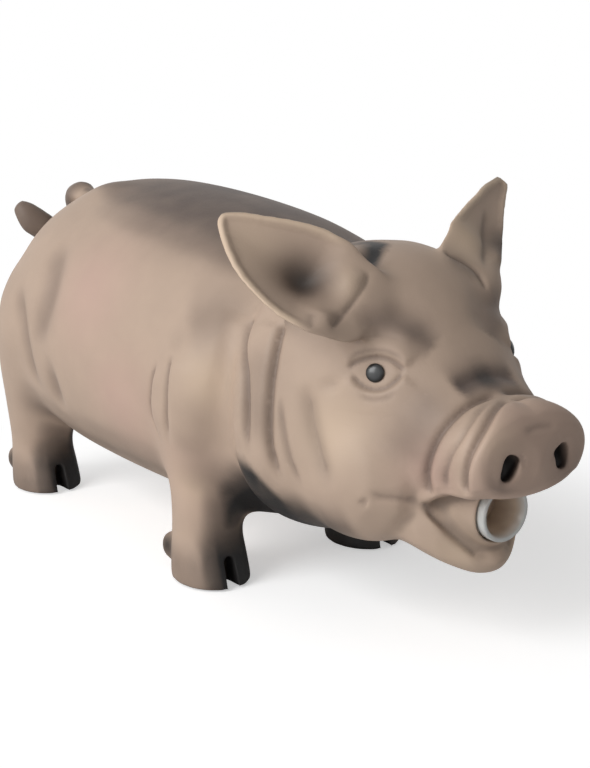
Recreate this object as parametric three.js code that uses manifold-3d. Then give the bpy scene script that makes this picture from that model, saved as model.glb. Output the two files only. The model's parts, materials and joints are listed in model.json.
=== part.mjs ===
// A latex pig dog toy: a hollow moulded skin that stands on four hooves, filled with fleece,
// with a voice tube in its open mouth whose reed grunts when the toy is squeezed.
// Millimetres. The pig faces +X, +Z is up, and its right side is at -Y. Right-hand pieces are
// modelled, and left-hand ones are their mirror images.
import * as THREE from "three";
import { mergeVertices } from "three/addons/utils/BufferGeometryUtils.js";
import Module from "manifold-3d";

const wasm = await Module();
wasm.setup();

// Latex skin, the clearance between pieces that touch, and how far the filling stays off the skin
const WALL = 3;
const GAP = 0.3;
const FLEECE_EASE = 0.8;

// Trunk and head are skins over upright oval sections along X. A section is
// [x, underside, top, half width, height of its widest level].
const TRUNK = {
  rear: -121.5,
  rearRounding: 46,
  front: 42,
  frontRounding: 38,
  squareness: 2.05,
  sections: [
    [-122, 16, 100, 44.5, 58.5],
    [-90, 15.5, 100.5, 45, 58.5],
    [-60, 14.5, 101.5, 46, 58],
    [-30, 14.5, 100.5, 45, 57.5],
    [0, 15.5, 97.5, 41.5, 57],
    [20, 18, 94, 37, 56.5],
    [42, 21, 90, 32.5, 56],
  ],
};
const HEAD = {
  rear: 10,
  rearRounding: 18,
  front: 96,
  frontRounding: 3.5,
  squareness: 2.25,
  sections: [
    [8, 22, 94, 36.5, 52],
    [22, 20.5, 95.5, 37.5, 50],
    [34, 21, 97, 36.5, 49],
    [45, 24, 97.5, 33, 51],
    [54, 27, 95, 29, 54],
    [62, 29.5, 87.5, 24.5, 55],
    [70, 32.5, 77.5, 20.5, 55],
    [78, 40.5, 70, 17.5, 55],
    [85, 44, 66, 16.4, 55.5],
    [89.5, 44.6, 66.2, 18, 55.5],
    [96, 44.8, 65.8, 18.4, 55.5],
  ],
};
const HEAD_CAVITY = { front: 66, frontRounding: 14 };

// Swellings of the head: centre and radii of the right-hand one
const BROW = { at: [50, -10.5, 75.5], radii: [18.5, 13, 12] };
const CHEEK = { at: [49, -13.5, 45.5], radii: [24.5, 18, 21] };

// Mouth: a gap between the lips that opens forwards from the corner, and the web of skin inside it that
// narrows from the lips to the tube. The gap's outline is [x, height above the voice unit's axis].
const VOICE_HEIGHT = 38.8;
const MOUTH_OUTLINE = [
  [72.6, 2.4],
  [80, 5.4],
  [100, 6.6],
  [100, -20.1],
  [89, -19.5],
];
// The web's ovals are [x, half width, half height], and its front edge is round the tube.
const MOUTH_WEB = [
  [66, 15, 9.5],
  [74, 10.6, 9],
];
const MOUTH_WEB_FRONT = 84;
const MOUTH_WEB_EDGE = 0.9;

// Lower jaw: sections as for the head, with heights from the voice unit's axis
const JAW = {
  rear: 48,
  rearRounding: 8,
  front: 84.8,
  frontRounding: 8,
  squareness: 2.3,
  sections: [
    [48, -11.3, 5.2, 21, -2.8],
    [60, -12.3, 7.2, 20, -2.8],
    [68, -13.4, 9.7, 18, -3.8],
    [75, -15.6, 8.2, 15, -5.8],
    [80, -17.6, -0.8, 8.6, -10.3],
    [85.5, -17.3, -3.8, 5, -11.3],
  ],
};

// Snout: nostrils are deep upright pits
const NOSTRIL = { at: [95.6, -8.1, 54], radii: [7, 2.2, 3.4] };

// Eye: an eyeball swelling with a drop of enamel for a pupil
const EYE_POINT = new THREE.Vector3(62.3, -21.6, 71.4);
const EYE_FACING = new THREE.Vector3(0.55, -0.8, 0.22).normalize();
const EYEBALL_RADIUS = 6.5;
const PUPIL_RADIUS = 2.2;
const PUPIL_SEAT = 0.9;
const PUPIL_DOME = 0.5;
const PUPIL_FULLNESS = 0.8;

// Legs: level oval sections [z, x, y, half length, half width], with a round top
const FRONT_LEG = {
  topRounding: 20,
  sections: [
    [0, -2.8, -26.5, 12.6, 11],
    [4, -2.8, -26.5, 12.5, 10.9],
    [10, -4.6, -26.5, 10.6, 10.2],
    [16, -4.6, -26.5, 9.9, 9.7],
    [28, -3.2, -27, 10.9, 10.5],
    [40, -0.5, -29, 13.5, 12.8],
    [54, 2, -30.5, 16, 14],
    [68, 4, -29.5, 16.5, 13.5],
    [82, 5, -27, 15, 12],
  ],
};
const REAR_LEG = {
  topRounding: 32,
  sections: [
    [0, -102, -26.5, 12.4, 11.2],
    [4, -102, -26.5, 12.2, 11],
    [10, -104, -26.5, 10.6, 10.2],
    [16, -104.8, -26.5, 10, 9.8],
    [26, -102, -27.2, 12.4, 11.2],
    [38, -95, -28, 18.5, 14.2],
    [52, -87, -28.5, 24.5, 17],
    [66, -83, -27.8, 27.5, 18],
    [88, -82, -25, 25, 16],
  ],
};
const LEG_CAVITY_FLOOR = 9;
const HOOF_CLEFT = { width: 2.4, depth: 9, height: 9 };
const DEWCLAW = { apart: 5.2, height: 7, radii: [3.2, 2.4, 4.6] };

// Ear: a cupped leaf on a rounded bead that seats in a groove on the head
const EAR_ROOT = new THREE.Vector3(53.5, -21.5, 87.6);
const EAR_ALONG = new THREE.Vector3(-0.55, -0.675, 0.475).normalize();
const EAR_HINGE = new THREE.Vector3(-0.237, 0.681, 0.692).normalize();
const EAR_LENGTH = 36.5;
const EAR_BEAD_RADIUS = 3.8;
const EAR_BEAD_LENGTH = 11;
const EAR_THICKNESS = 3;
const EAR_EDGE_SQUARENESS = 3;
const EAR_CUP_POWER = 1.7;
const EAR_SLOPE_STEP = 0.05;
// Leaf sections: [share of the length, width above and below the middle, lift of each edge].
// The left ear's lower half is rolled in.
const RIGHT_LEAF = [
  [-0.03, 7.5, 7.5, 0.5, 0.5],
  [0.12, 10.4, 14, 3, 4.6],
  [0.34, 11.8, 16.8, 4, 6.8],
  [0.55, 10.2, 14.8, 3.6, 6.2],
  [0.78, 7.2, 10, 2.4, 4],
  [0.93, 5.4, 3.6, 1.4, 1.8],
  [1, 4, -1.2, 0.8, 0.8],
];
const LEFT_LEAF = [
  [0.01, 15, 3, 0.3, 0.5],
  [0.12, 16.8, 1.6, 0.5, 2.5],
  [0.34, 15, -0.8, 0.4, 3],
  [0.55, 12.6, -2, 0.3, 2.6],
  [0.78, 9.2, -3.4, 0.2, 1.5],
  [0.93, 6.8, -3.8, 0.1, 0.5],
  [1, 5.8, -4, 0.1, 0.1],
];

// Tail: a tapered curl on a round root that seats in a dimple on the rump
const TAIL_ROOT = new THREE.Vector3(-108.6, -0.5, 90.3);
const TAIL_ROOT_RADIUS = 4.5;
const TAIL_PATH = [
  TAIL_ROOT.toArray(),
  [-114, -2.5, 92.5],
  [-121, -1, 90.5],
  [-126.5, 3, 84],
  [-127, 2, 76],
  [-125.5, -6, 75],
  [-126.5, -12.5, 81],
  [-130, -19, 87.5],
];
const TAIL_THICK = 4.6;
const TAIL_TIP = 1.8;
const TAIL_FULLNESS = 4;

// Voice unit: tube, tone board, reed, wedge and strainer cap on one axis along X
const TUBE_FRONT = 85.5;
const TUBE_LENGTH = 36;
const TUBE_RADIUS = 6.8;
const TUBE_WALL = 1.8;
const TUBE_LIP = 0.4;
const TUBE_LIP_LENGTH = 4;
const TUBE_HOLLOW = 9;
const BOARD_PLUG_LENGTH = 10;
const BOARD_LENGTH = 22;
const BOARD_LEVEL = -0.5;
const AIR_GROOVE_WIDTH = 4;
const AIR_GROOVE_DEPTH = 3;
const REED_THICKNESS = 0.5;
const REED_WIDTH = 5;
const REED_FREE_LENGTH = 11;
const REED_CLAMPED_LENGTH = 4;
const REED_LIFT = 0.9;
const REED_FIT = 0.35;
const WEDGE_THICKNESS = 1.6;
const WEDGE_TAPER = 0.5;
const CAP_WALL = 1.5;
const CAP_SKIRT = 5;
const CAP_HOLE_RADIUS = 1.2;
const CAP_HOLE_CIRCLE = 3.8;
const CAP_HOLES = 6;

// Facets
const TRUNK_RINGS = 26;
const HEAD_RINGS = 30;
const INNER_RINGS = 14;
const JAW_RINGS = 14;
const LEG_RINGS = 10;
const TAIL_RINGS = 22;
const EAR_RINGS = 13;
const BODY_SIDES = 28;
const INNER_SIDES = 16;
const LIMB_SIDES = 16;
const TAIL_SIDES = 8;
const EAR_SIDE_POINTS = 7;
const ROUND_SIDES = 24;
const HOLE_SIDES = 8;
const DOME_STEPS = 4;
const SAME_POINT = 1e-4;

const LATEX = new THREE.MeshStandardMaterial({ color: 0xb79b88, roughness: 0.65, metalness: 0 });
const ENAMEL = new THREE.MeshStandardMaterial({ color: 0x23201f, roughness: 0.15, metalness: 0 });
const CLEAR = new THREE.MeshStandardMaterial({ color: 0xdfe4e2, roughness: 0.1, metalness: 0 });
const MOULDED = new THREE.MeshStandardMaterial({ color: 0xd8d2c4, roughness: 0.4, metalness: 0 });
const FILM = new THREE.MeshStandardMaterial({ color: 0xe9e2c8, roughness: 0.3, metalness: 0 });
const FLEECE = new THREE.MeshStandardMaterial({ color: 0xf2f0ea, roughness: 0.95, metalness: 0 });

// Solids and geometries

// A closed geometry as a solid for joining and cutting, facing out whichever way it was wound.
function solid(geometry) {
  const bare = geometry.clone();
  bare.deleteAttribute("normal");
  bare.deleteAttribute("uv");
  const merged = mergeVertices(bare, SAME_POINT);
  const positions = merged.attributes.position.array;
  const corners = new Uint32Array(merged.index.array);
  const points = [new THREE.Vector3(), new THREE.Vector3(), new THREE.Vector3()];
  let volume = 0;
  for (let i = 0; i < corners.length; i += 3) {
    points.forEach((point, k) => point.fromArray(positions, corners[i + k] * 3));
    volume += points[0].dot(points[1].clone().cross(points[2]));
  }
  if (volume < 0) corners.reverse();
  return new wasm.Manifold(
    new wasm.Mesh({ numProp: 3, vertProperties: positions, triVerts: corners }),
  );
}

function geometryOf(body) {
  const mesh = body.getMesh();
  const geometry = new THREE.BufferGeometry();
  geometry.setAttribute("position", new THREE.BufferAttribute(mesh.vertProperties, 3));
  geometry.setIndex(new THREE.BufferAttribute(mesh.triVerts, 1));
  const faceted = geometry.toNonIndexed();
  faceted.computeVertexNormals();
  return faceted;
}

function join(...bodies) {
  return bodies.reduce((all, body) => all.add(body));
}

function cut(body, ...tools) {
  return tools.reduce((rest, tool) => rest.subtract(tool), body);
}

// A skin through rings of points, closed at both ends.
function loft(rings) {
  const count = rings[0].length;
  const points = rings.flat();
  const faces = [];
  for (let row = 0; row + 1 < rings.length; row++)
    for (let i = 0; i < count; i++) {
      const a = row * count + i;
      const b = row * count + ((i + 1) % count);
      faces.push(a, b, b + count, a, b + count, a + count);
    }
  const last = (rings.length - 1) * count;
  for (let i = 1; i + 1 < count; i++) {
    faces.push(0, i + 1, i);
    faces.push(last, last + i, last + i + 1);
  }
  const geometry = new THREE.BufferGeometry().setFromPoints(points);
  geometry.setIndex(faces);
  return solid(geometry);
}

// A smooth reading of a table whose first column is the place and the rest are values there.
function reader(table) {
  const places = table.map((row) => row[0]);
  const values = table.flatMap((row) => row.slice(1));
  return new THREE.CubicInterpolant(places, values, table[0].length - 1);
}

function superPower(value, squareness) {
  return Math.sign(value) * Math.abs(value) ** (2 / squareness);
}

// The share of full size left by a rounded end at a distance inside that end.
function endShare(inside, rounding) {
  const reach = Math.min(Math.max(1 - inside / rounding, 0), 1);
  return Math.sqrt(1 - reach * reach);
}

// A lengthwise form with round ends, grown (or shrunk) all over by the same amount.
function lengthwise(form, grow, ringCount, sides) {
  const read = reader(form.sections);
  const rear = form.rear - grow;
  const front = form.front + grow;
  const rings = [];
  for (let k = 0; k < ringCount; k++) {
    const sweep = (1 - Math.cos((Math.PI * (k + 0.5)) / ringCount)) / 2;
    const x = rear + (front - rear) * sweep;
    const [underside, top, halfWidth, widest] = read.evaluate(x);
    const share =
      endShare(x - rear, form.rearRounding + grow) * endShare(front - x, form.frontRounding + grow);
    const up = (top - widest + grow) * share;
    const down = (widest - underside + grow) * share;
    const out = (halfWidth + grow) * share;
    const ring = [];
    for (let i = 0; i < sides; i++) {
      const turn = (2 * Math.PI * i) / sides;
      const height = superPower(Math.sin(turn), form.squareness);
      const y = out * superPower(Math.cos(turn), form.squareness);
      ring.push(new THREE.Vector3(x, y, widest + height * (height > 0 ? up : down)));
    }
    rings.push(ring);
  }
  return loft(rings);
}

function ellipsoid({ at, radii }, grow) {
  const ball = new THREE.SphereGeometry(1, LIMB_SIDES, LIMB_SIDES / 2);
  ball.scale(...radii.map((radius) => radius + grow));
  ball.translate(...at);
  return solid(ball);
}

// A solid cylinder between two points.
function rod(from, to, radius, sides = ROUND_SIDES) {
  const axis = to.clone().sub(from);
  const cylinder = new THREE.CylinderGeometry(radius, radius, axis.length(), sides);
  const turn = new THREE.Quaternion().setFromUnitVectors(
    new THREE.Vector3(0, 1, 0),
    axis.clone().normalize(),
  );
  cylinder.applyQuaternion(turn);
  cylinder.translate(...from.clone().add(to).multiplyScalar(0.5));
  return solid(cylinder);
}

function block(min, max) {
  const box = new THREE.BoxGeometry(...max.map((value, i) => value - min[i]));
  box.translate(...max.map((value, i) => (value + min[i]) / 2));
  return solid(box);
}

// A body turned about the voice unit's axis from a profile of [x, radius] points.
function turned(profile) {
  const points = profile.map(([x, radius]) => new THREE.Vector2(radius, x));
  const geometry = new THREE.LatheGeometry(points, ROUND_SIDES);
  geometry.rotateZ(-Math.PI / 2);
  geometry.translate(0, 0, VOICE_HEIGHT);
  return solid(geometry);
}

function mirrored(body) {
  const geometry = geometryOf(body);
  geometry.scale(1, -1, 1);
  return solid(geometry);
}

function bothSides(body) {
  return join(body, mirrored(body));
}

// Forms of the skin

const trunkForm = (grow) => lengthwise(TRUNK, grow, TRUNK_RINGS, BODY_SIDES);
const trunkCavity = (grow) => lengthwise(TRUNK, grow - WALL, INNER_RINGS, INNER_SIDES);

function headForm(grow) {
  const eyeball = {
    at: EYE_POINT.clone().addScaledVector(EYE_FACING, -EYEBALL_RADIUS).toArray(),
    radii: [EYEBALL_RADIUS, EYEBALL_RADIUS, EYEBALL_RADIUS],
  };
  const swellings = [BROW, CHEEK, eyeball].map((shape) => ellipsoid(shape, grow));
  return join(lengthwise(HEAD, grow, HEAD_RINGS, BODY_SIDES), ...swellings.map(bothSides));
}

function mouthGap() {
  const outline = new THREE.Shape(MOUTH_OUTLINE.map(([x, z]) => new THREE.Vector2(x, z)));
  const halfWidth = Math.max(...HEAD.sections.map((section) => section[3]));
  const gap = new THREE.ExtrudeGeometry(outline, { depth: 2 * halfWidth, bevelEnabled: false });
  gap.translate(0, 0, -halfWidth);
  gap.rotateX(Math.PI / 2);
  gap.translate(0, 0, VOICE_HEIGHT);
  return solid(gap);
}

function mouthWeb(grow) {
  const frontRadius = TUBE_RADIUS + TUBE_LIP + GAP + MOUTH_WEB_EDGE;
  const ovals = [...MOUTH_WEB, [MOUTH_WEB_FRONT + grow, frontRadius, frontRadius]];
  const rings = ovals.map(([x, halfWidth, halfHeight]) => {
    const ring = [];
    for (let i = 0; i < BODY_SIDES; i++) {
      const turn = (2 * Math.PI * i) / BODY_SIDES;
      const y = (halfWidth + grow) * Math.cos(turn);
      ring.push(new THREE.Vector3(x, y, VOICE_HEIGHT + (halfHeight + grow) * Math.sin(turn)));
    }
    return ring;
  });
  return loft(rings);
}

function headCavity(grow) {
  const { front, frontRounding } = HEAD_CAVITY;
  const inner = { ...HEAD, front: front + WALL, frontRounding: frontRounding + WALL };
  return lengthwise(inner, grow - WALL, INNER_RINGS, INNER_SIDES);
}

// A leg's column of level ovals, from the sole or from the floor of its hollow.
function legColumn(leg, grow, floor) {
  const read = reader(leg.sections);
  const top = leg.sections.at(-1)[0] + grow;
  const rings = [];
  for (let k = 0; k < LEG_RINGS; k++) {
    const z = floor + (top - floor) * Math.sin((Math.PI / 2) * (k / (LEG_RINGS - 0.5)));
    const [x, y, halfLength, halfWidth] = read.evaluate(z);
    const share = endShare(top - z, leg.topRounding + grow);
    const ring = [];
    for (let i = 0; i < LIMB_SIDES; i++) {
      const turn = (2 * Math.PI * i) / LIMB_SIDES;
      const along = (halfLength + grow) * share * Math.cos(turn);
      const across = (halfWidth + grow) * share * Math.sin(turn);
      ring.push(new THREE.Vector3(x + along, y + across, z));
    }
    rings.push(ring);
  }
  return loft(rings);
}

const legCavity = (leg) => legColumn(leg, -WALL, LEG_CAVITY_FLOOR);

function legSkin(leg) {
  const [, footX, footY, halfLength] = leg.sections[0];
  const dewclaw = (side) =>
    ellipsoid(
      {
        at: [footX - halfLength, footY + side * DEWCLAW.apart, DEWCLAW.height],
        radii: DEWCLAW.radii,
      },
      0,
    );
  const toe = footX + halfLength;
  const cleft = block(
    [toe - HOOF_CLEFT.depth, footY - HOOF_CLEFT.width / 2, -HOOF_CLEFT.height],
    [toe + HOOF_CLEFT.depth, footY + HOOF_CLEFT.width / 2, HOOF_CLEFT.height],
  );
  const form = join(legColumn(leg, 0, 0), dewclaw(-1), dewclaw(1));
  return cut(form, cleft, trunkForm(GAP), legCavity(leg), headForm(GAP));
}

function jawForm() {
  const form = lengthwise(JAW, 0, JAW_RINGS, LIMB_SIDES).translate([0, 0, VOICE_HEIGHT]);
  return cut(form, mouthGap(), headForm(GAP), mouthWeb(GAP), voiceSpace());
}

// Ear in its own axes: along the leaf, across it on the hinge line, and out of the cup
const earOut = EAR_HINGE.clone().cross(EAR_ALONG).normalize();

function earPoint(along, across, out) {
  return EAR_ROOT.clone()
    .addScaledVector(EAR_ALONG, along)
    .addScaledVector(EAR_HINGE, across)
    .addScaledVector(earOut, out);
}

// The middle line of a leaf section: share runs from -1 at the lower edge to 1 at the upper one.
function leafMiddle(share, [above, below, liftAbove, liftBelow]) {
  const rise = Math.abs(share) ** EAR_CUP_POWER;
  return share > 0
    ? new THREE.Vector2(above * share, liftAbove * rise)
    : new THREE.Vector2(below * share, liftBelow * rise);
}

function earLeaf(leaf) {
  const read = reader(leaf);
  const first = leaf[0][0];
  const rings = [];
  for (let k = 0; k < EAR_RINGS; k++) {
    const along = first + (1 - first) * Math.sin((Math.PI / 2) * (k / (EAR_RINGS - 1)));
    const section = [...read.evaluate(along)];
    const ring = [];
    for (let i = 0; i < 2 * EAR_SIDE_POINTS; i++) {
      const turn = (Math.PI * (i + 0.5)) / EAR_SIDE_POINTS;
      const share = Math.cos(turn);
      const middle = leafMiddle(share, section);
      const ahead = leafMiddle(share + EAR_SLOPE_STEP, section);
      const slope = ahead.sub(leafMiddle(share - EAR_SLOPE_STEP, section));
      const outward = new THREE.Vector2(-slope.y, slope.x).normalize();
      const half = superPower(Math.sin(turn), EAR_EDGE_SQUARENESS) * (EAR_THICKNESS / 2);
      middle.addScaledVector(outward, half);
      ring.push(earPoint(along * EAR_LENGTH, middle.x, middle.y));
    }
    rings.push(ring);
  }
  return loft(rings);
}

function earBead(grow) {
  const bead = new THREE.SphereGeometry(1, LIMB_SIDES, LIMB_SIDES / 2);
  const radius = EAR_BEAD_RADIUS + grow;
  bead.scale(radius, EAR_BEAD_LENGTH / 2 + grow, radius);
  bead.applyMatrix4(new THREE.Matrix4().makeBasis(earOut, EAR_HINGE, EAR_ALONG));
  bead.translate(...EAR_ROOT);
  return solid(bead);
}

function tailCurl() {
  const path = new THREE.CatmullRomCurve3(TAIL_PATH.map((point) => new THREE.Vector3(...point)));
  const frames = path.computeFrenetFrames(TAIL_RINGS - 1);
  const rings = [];
  for (let k = 0; k < TAIL_RINGS; k++) {
    const share = k / (TAIL_RINGS - 1);
    const centre = path.getPointAt(share);
    const radius = TAIL_TIP + (TAIL_THICK - TAIL_TIP) * Math.sqrt(1 - share ** TAIL_FULLNESS);
    const ring = [];
    for (let i = 0; i < TAIL_SIDES; i++) {
      const turn = (2 * Math.PI * i) / TAIL_SIDES;
      ring.push(
        centre
          .clone()
          .addScaledVector(frames.normals[k], radius * Math.cos(turn))
          .addScaledVector(frames.binormals[k], radius * Math.sin(turn)),
      );
    }
    rings.push(ring);
  }
  return loft(rings);
}

const tailRoot = (grow) =>
  ellipsoid(
    { at: TAIL_ROOT.toArray(), radii: [TAIL_ROOT_RADIUS, TAIL_ROOT_RADIUS, TAIL_ROOT_RADIUS] },
    grow,
  );

// Enamel drop of the right eye, seated in a round recess of the eyeball

function pupilRecess() {
  const floor = EYE_POINT.clone().addScaledVector(EYE_FACING, -PUPIL_SEAT);
  const outside = EYE_POINT.clone().addScaledVector(EYE_FACING, EYEBALL_RADIUS);
  return rod(floor, outside, PUPIL_RADIUS + GAP);
}

function pupil() {
  const dome = new THREE.QuadraticBezierCurve(
    new THREE.Vector2(PUPIL_RADIUS, 0),
    new THREE.Vector2(PUPIL_RADIUS * PUPIL_FULLNESS, PUPIL_DOME),
    new THREE.Vector2(0, PUPIL_DOME),
  );
  const profile = [
    new THREE.Vector2(0, GAP - PUPIL_SEAT),
    new THREE.Vector2(PUPIL_RADIUS, GAP - PUPIL_SEAT),
    ...dome.getPoints(DOME_STEPS),
  ];
  const drop = new THREE.LatheGeometry(profile, LIMB_SIDES);
  drop.applyQuaternion(
    new THREE.Quaternion().setFromUnitVectors(new THREE.Vector3(0, 1, 0), EYE_FACING),
  );
  drop.translate(...EYE_POINT);
  return solid(drop);
}

// Voice unit

const tubeBack = TUBE_FRONT - TUBE_LENGTH;
const tubeBore = TUBE_RADIUS - TUBE_WALL;
const plugFront = TUBE_FRONT - TUBE_HOLLOW;
const plugBack = plugFront - BOARD_PLUG_LENGTH;
const boardBack = plugFront - BOARD_LENGTH;
const boardRadius = tubeBore - GAP;
const boardTop = VOICE_HEIGHT + BOARD_LEVEL;
const reedUnder = boardTop + REED_LIFT;
const reedTop = reedUnder + REED_THICKNESS;
const wedgeUnder = reedTop + REED_FIT;
const capRadius = TUBE_RADIUS + GAP + CAP_WALL;
const capBack = tubeBack - GAP - CAP_WALL;

function onVoiceAxis(x) {
  return new THREE.Vector3(x, 0, VOICE_HEIGHT);
}

// Room for the tube, wider round its front lip and round the cap on its back end.
function voiceSpace() {
  const front = onVoiceAxis(TUBE_FRONT + GAP);
  const lipBack = onVoiceAxis(TUBE_FRONT - TUBE_LIP_LENGTH - GAP);
  const capFront = onVoiceAxis(tubeBack + CAP_SKIRT + GAP);
  return join(
    rod(onVoiceAxis(tubeBack), front, TUBE_RADIUS + GAP),
    rod(lipBack, front, TUBE_RADIUS + TUBE_LIP + GAP),
    rod(onVoiceAxis(capBack - GAP), capFront, capRadius + GAP),
  );
}

function voiceTube() {
  return turned([
    [tubeBack, tubeBore],
    [tubeBack, TUBE_RADIUS],
    [TUBE_FRONT - TUBE_LIP_LENGTH, TUBE_RADIUS],
    [TUBE_FRONT - TUBE_LIP_LENGTH + TUBE_LIP, TUBE_RADIUS + TUBE_LIP],
    [TUBE_FRONT - TUBE_LIP, TUBE_RADIUS + TUBE_LIP],
    [TUBE_FRONT, TUBE_RADIUS],
    [TUBE_FRONT, tubeBore + TUBE_LIP],
    [TUBE_FRONT - TUBE_LIP, tubeBore],
    [tubeBack, tubeBore],
  ]);
}

function toneBoard() {
  const stock = rod(onVoiceAxis(boardBack), onVoiceAxis(plugFront), boardRadius);
  const halfSlot = REED_WIDTH / 2 + REED_FIT;
  const halfGroove = AIR_GROOVE_WIDTH / 2;
  const slotTop = wedgeUnder + WEDGE_THICKNESS + GAP;
  const aboveBoard = block(
    [boardBack - GAP, -boardRadius - GAP, boardTop],
    [plugBack, boardRadius + GAP, VOICE_HEIGHT + boardRadius + GAP],
  );
  const clampSlot = block(
    [plugBack - GAP, -halfSlot, reedUnder - REED_FIT],
    [plugBack + REED_CLAMPED_LENGTH + REED_FIT, halfSlot, slotTop],
  );
  const airGroove = block(
    [plugBack - REED_FREE_LENGTH + AIR_GROOVE_WIDTH, -halfGroove, boardTop - AIR_GROOVE_DEPTH],
    [plugFront + GAP, halfGroove, boardTop],
  );
  return cut(stock, aboveBoard, clampSlot, airGroove);
}

function reedStrip() {
  return block(
    [plugBack - REED_FREE_LENGTH, -REED_WIDTH / 2, reedUnder],
    [plugBack + REED_CLAMPED_LENGTH, REED_WIDTH / 2, reedTop],
  );
}

function reedWedge() {
  const side = new THREE.Shape();
  side.moveTo(plugBack, wedgeUnder);
  side.lineTo(plugBack + REED_CLAMPED_LENGTH, wedgeUnder);
  side.lineTo(plugBack + REED_CLAMPED_LENGTH, wedgeUnder + WEDGE_THICKNESS - WEDGE_TAPER);
  side.lineTo(plugBack, wedgeUnder + WEDGE_THICKNESS);
  const wedge = new THREE.ExtrudeGeometry(side, { depth: REED_WIDTH, bevelEnabled: false });
  wedge.translate(0, 0, -REED_WIDTH / 2);
  wedge.rotateX(Math.PI / 2);
  return solid(wedge);
}

function strainerCap() {
  const cup = turned([
    [capBack, 0],
    [capBack, capRadius],
    [tubeBack + CAP_SKIRT, capRadius],
    [tubeBack + CAP_SKIRT, capRadius - CAP_WALL],
    [capBack + CAP_WALL, capRadius - CAP_WALL],
    [capBack + CAP_WALL, 0],
  ]);
  const holes = [];
  for (let k = 0; k < CAP_HOLES; k++) {
    const turn = (2 * Math.PI * k) / CAP_HOLES;
    const offset = new THREE.Vector3(0, Math.cos(turn), Math.sin(turn));
    offset.multiplyScalar(CAP_HOLE_CIRCLE);
    const from = onVoiceAxis(capBack - GAP).add(offset);
    const to = onVoiceAxis(capBack + CAP_WALL + GAP).add(offset);
    holes.push(rod(from, to, CAP_HOLE_RADIUS, HOLE_SIDES));
  }
  return cut(cup, ...holes);
}

// The toy

const legHollows = [FRONT_LEG, REAR_LEG].map((leg) => bothSides(legCavity(leg)));

const trunk = cut(trunkForm(0), trunkCavity(0), headCavity(0), ...legHollows, tailRoot(GAP));

const head = cut(
  join(cut(headForm(0), mouthGap()), mouthWeb(0)),
  trunkForm(GAP),
  headCavity(0),
  voiceSpace(),
  bothSides(ellipsoid(NOSTRIL, 0)),
  bothSides(pupilRecess()),
  bothSides(earBead(GAP)),
);

const fleece = cut(join(trunkCavity(-FLEECE_EASE), headCavity(-FLEECE_EASE)), voiceSpace());

const toy = new THREE.Group();

function add(name, body, material) {
  const mesh = new THREE.Mesh(geometryOf(body), material);
  mesh.name = name;
  toy.add(mesh);
  return mesh;
}

function addPair(name, body, material) {
  add("right_" + name, body, material);
  const left = add("left_" + name, body, material);
  left.scale.y = -1;
}

add("trunk", trunk, LATEX);
add("head", head, LATEX);
add("lower_jaw", jawForm(), LATEX);
addPair("front_leg", legSkin(FRONT_LEG), LATEX);
addPair("rear_leg", legSkin(REAR_LEG), LATEX);
add("right_ear", join(earLeaf(RIGHT_LEAF), earBead(0)), LATEX);
add("left_ear", mirrored(join(earLeaf(LEFT_LEAF), earBead(0))), LATEX);
add("tail", join(tailCurl(), tailRoot(0)), LATEX);
addPair("eye", pupil(), ENAMEL);
add("voice_tube", voiceTube(), CLEAR);
add("tone_board", toneBoard(), MOULDED);
add("reed", reedStrip(), FILM);
add("reed_wedge", reedWedge(), MOULDED);
add("strainer_cap", strainerCap(), MOULDED);
add("fleece_filling", fleece, FLEECE);

// The origin is on the floor under the middle of the toy's length.
const reach = new THREE.Box3().setFromObject(toy);
toy.children.forEach((mesh) => {
  mesh.position.x = -(reach.min.x + reach.max.x) / 2;
});

export default toy;
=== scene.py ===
# %% [markdown]
# # A latex pig dog toy
# The real toy is one hollow latex moulding, filled with fleece, with a clear voice tube in its mouth.
# The imported model gives every piece its size and place, and this lesson dresses it: it moulds one smooth
# skin over the plain solids, works the folds of the face and neck into it as a sculptor would, and then
# paints it as the factory does, with an airbrush, with painted shade and painted light sprayed among the
# coats.

# %% Open the frame
import json
import math

import bmesh
import bpy
import numpy as np
from mathutils import Matrix, Vector
from mathutils.bvhtree import BVHTree
from mathutils.kdtree import KDTree


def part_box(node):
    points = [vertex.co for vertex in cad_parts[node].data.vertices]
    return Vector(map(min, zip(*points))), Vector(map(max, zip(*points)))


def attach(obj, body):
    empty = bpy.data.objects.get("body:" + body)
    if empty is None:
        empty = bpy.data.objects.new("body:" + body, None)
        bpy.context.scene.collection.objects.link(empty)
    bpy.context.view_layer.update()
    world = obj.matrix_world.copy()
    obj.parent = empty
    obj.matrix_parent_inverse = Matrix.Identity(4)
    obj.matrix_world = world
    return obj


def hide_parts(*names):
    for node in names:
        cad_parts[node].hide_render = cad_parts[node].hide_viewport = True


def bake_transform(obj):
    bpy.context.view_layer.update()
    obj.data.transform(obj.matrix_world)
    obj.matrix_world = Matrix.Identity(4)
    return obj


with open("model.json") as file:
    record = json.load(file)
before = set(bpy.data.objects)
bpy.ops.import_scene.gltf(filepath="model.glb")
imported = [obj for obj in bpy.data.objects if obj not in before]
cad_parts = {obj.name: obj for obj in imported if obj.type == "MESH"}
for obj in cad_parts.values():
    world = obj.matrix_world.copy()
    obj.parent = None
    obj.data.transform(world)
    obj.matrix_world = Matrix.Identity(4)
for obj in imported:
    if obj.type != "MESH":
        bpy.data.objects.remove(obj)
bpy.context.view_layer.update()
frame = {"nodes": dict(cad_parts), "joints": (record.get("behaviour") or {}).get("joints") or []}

MM = 0.001
nodes = frame["nodes"]
joints = {joint["name"]: joint for joint in frame["joints"]}
print("nodes:", len(nodes), "joints:", sorted(joints))

# %% [markdown]
# ## The camera
# Matched points on the left and right of the toy, such as the two nostrils and the two ear tips, fix where
# the photographer stood: in front of the pig's right shoulder and a little above it. The same camera later
# tells where a fold seen at a pixel lies on the skin, so it comes first.

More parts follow.
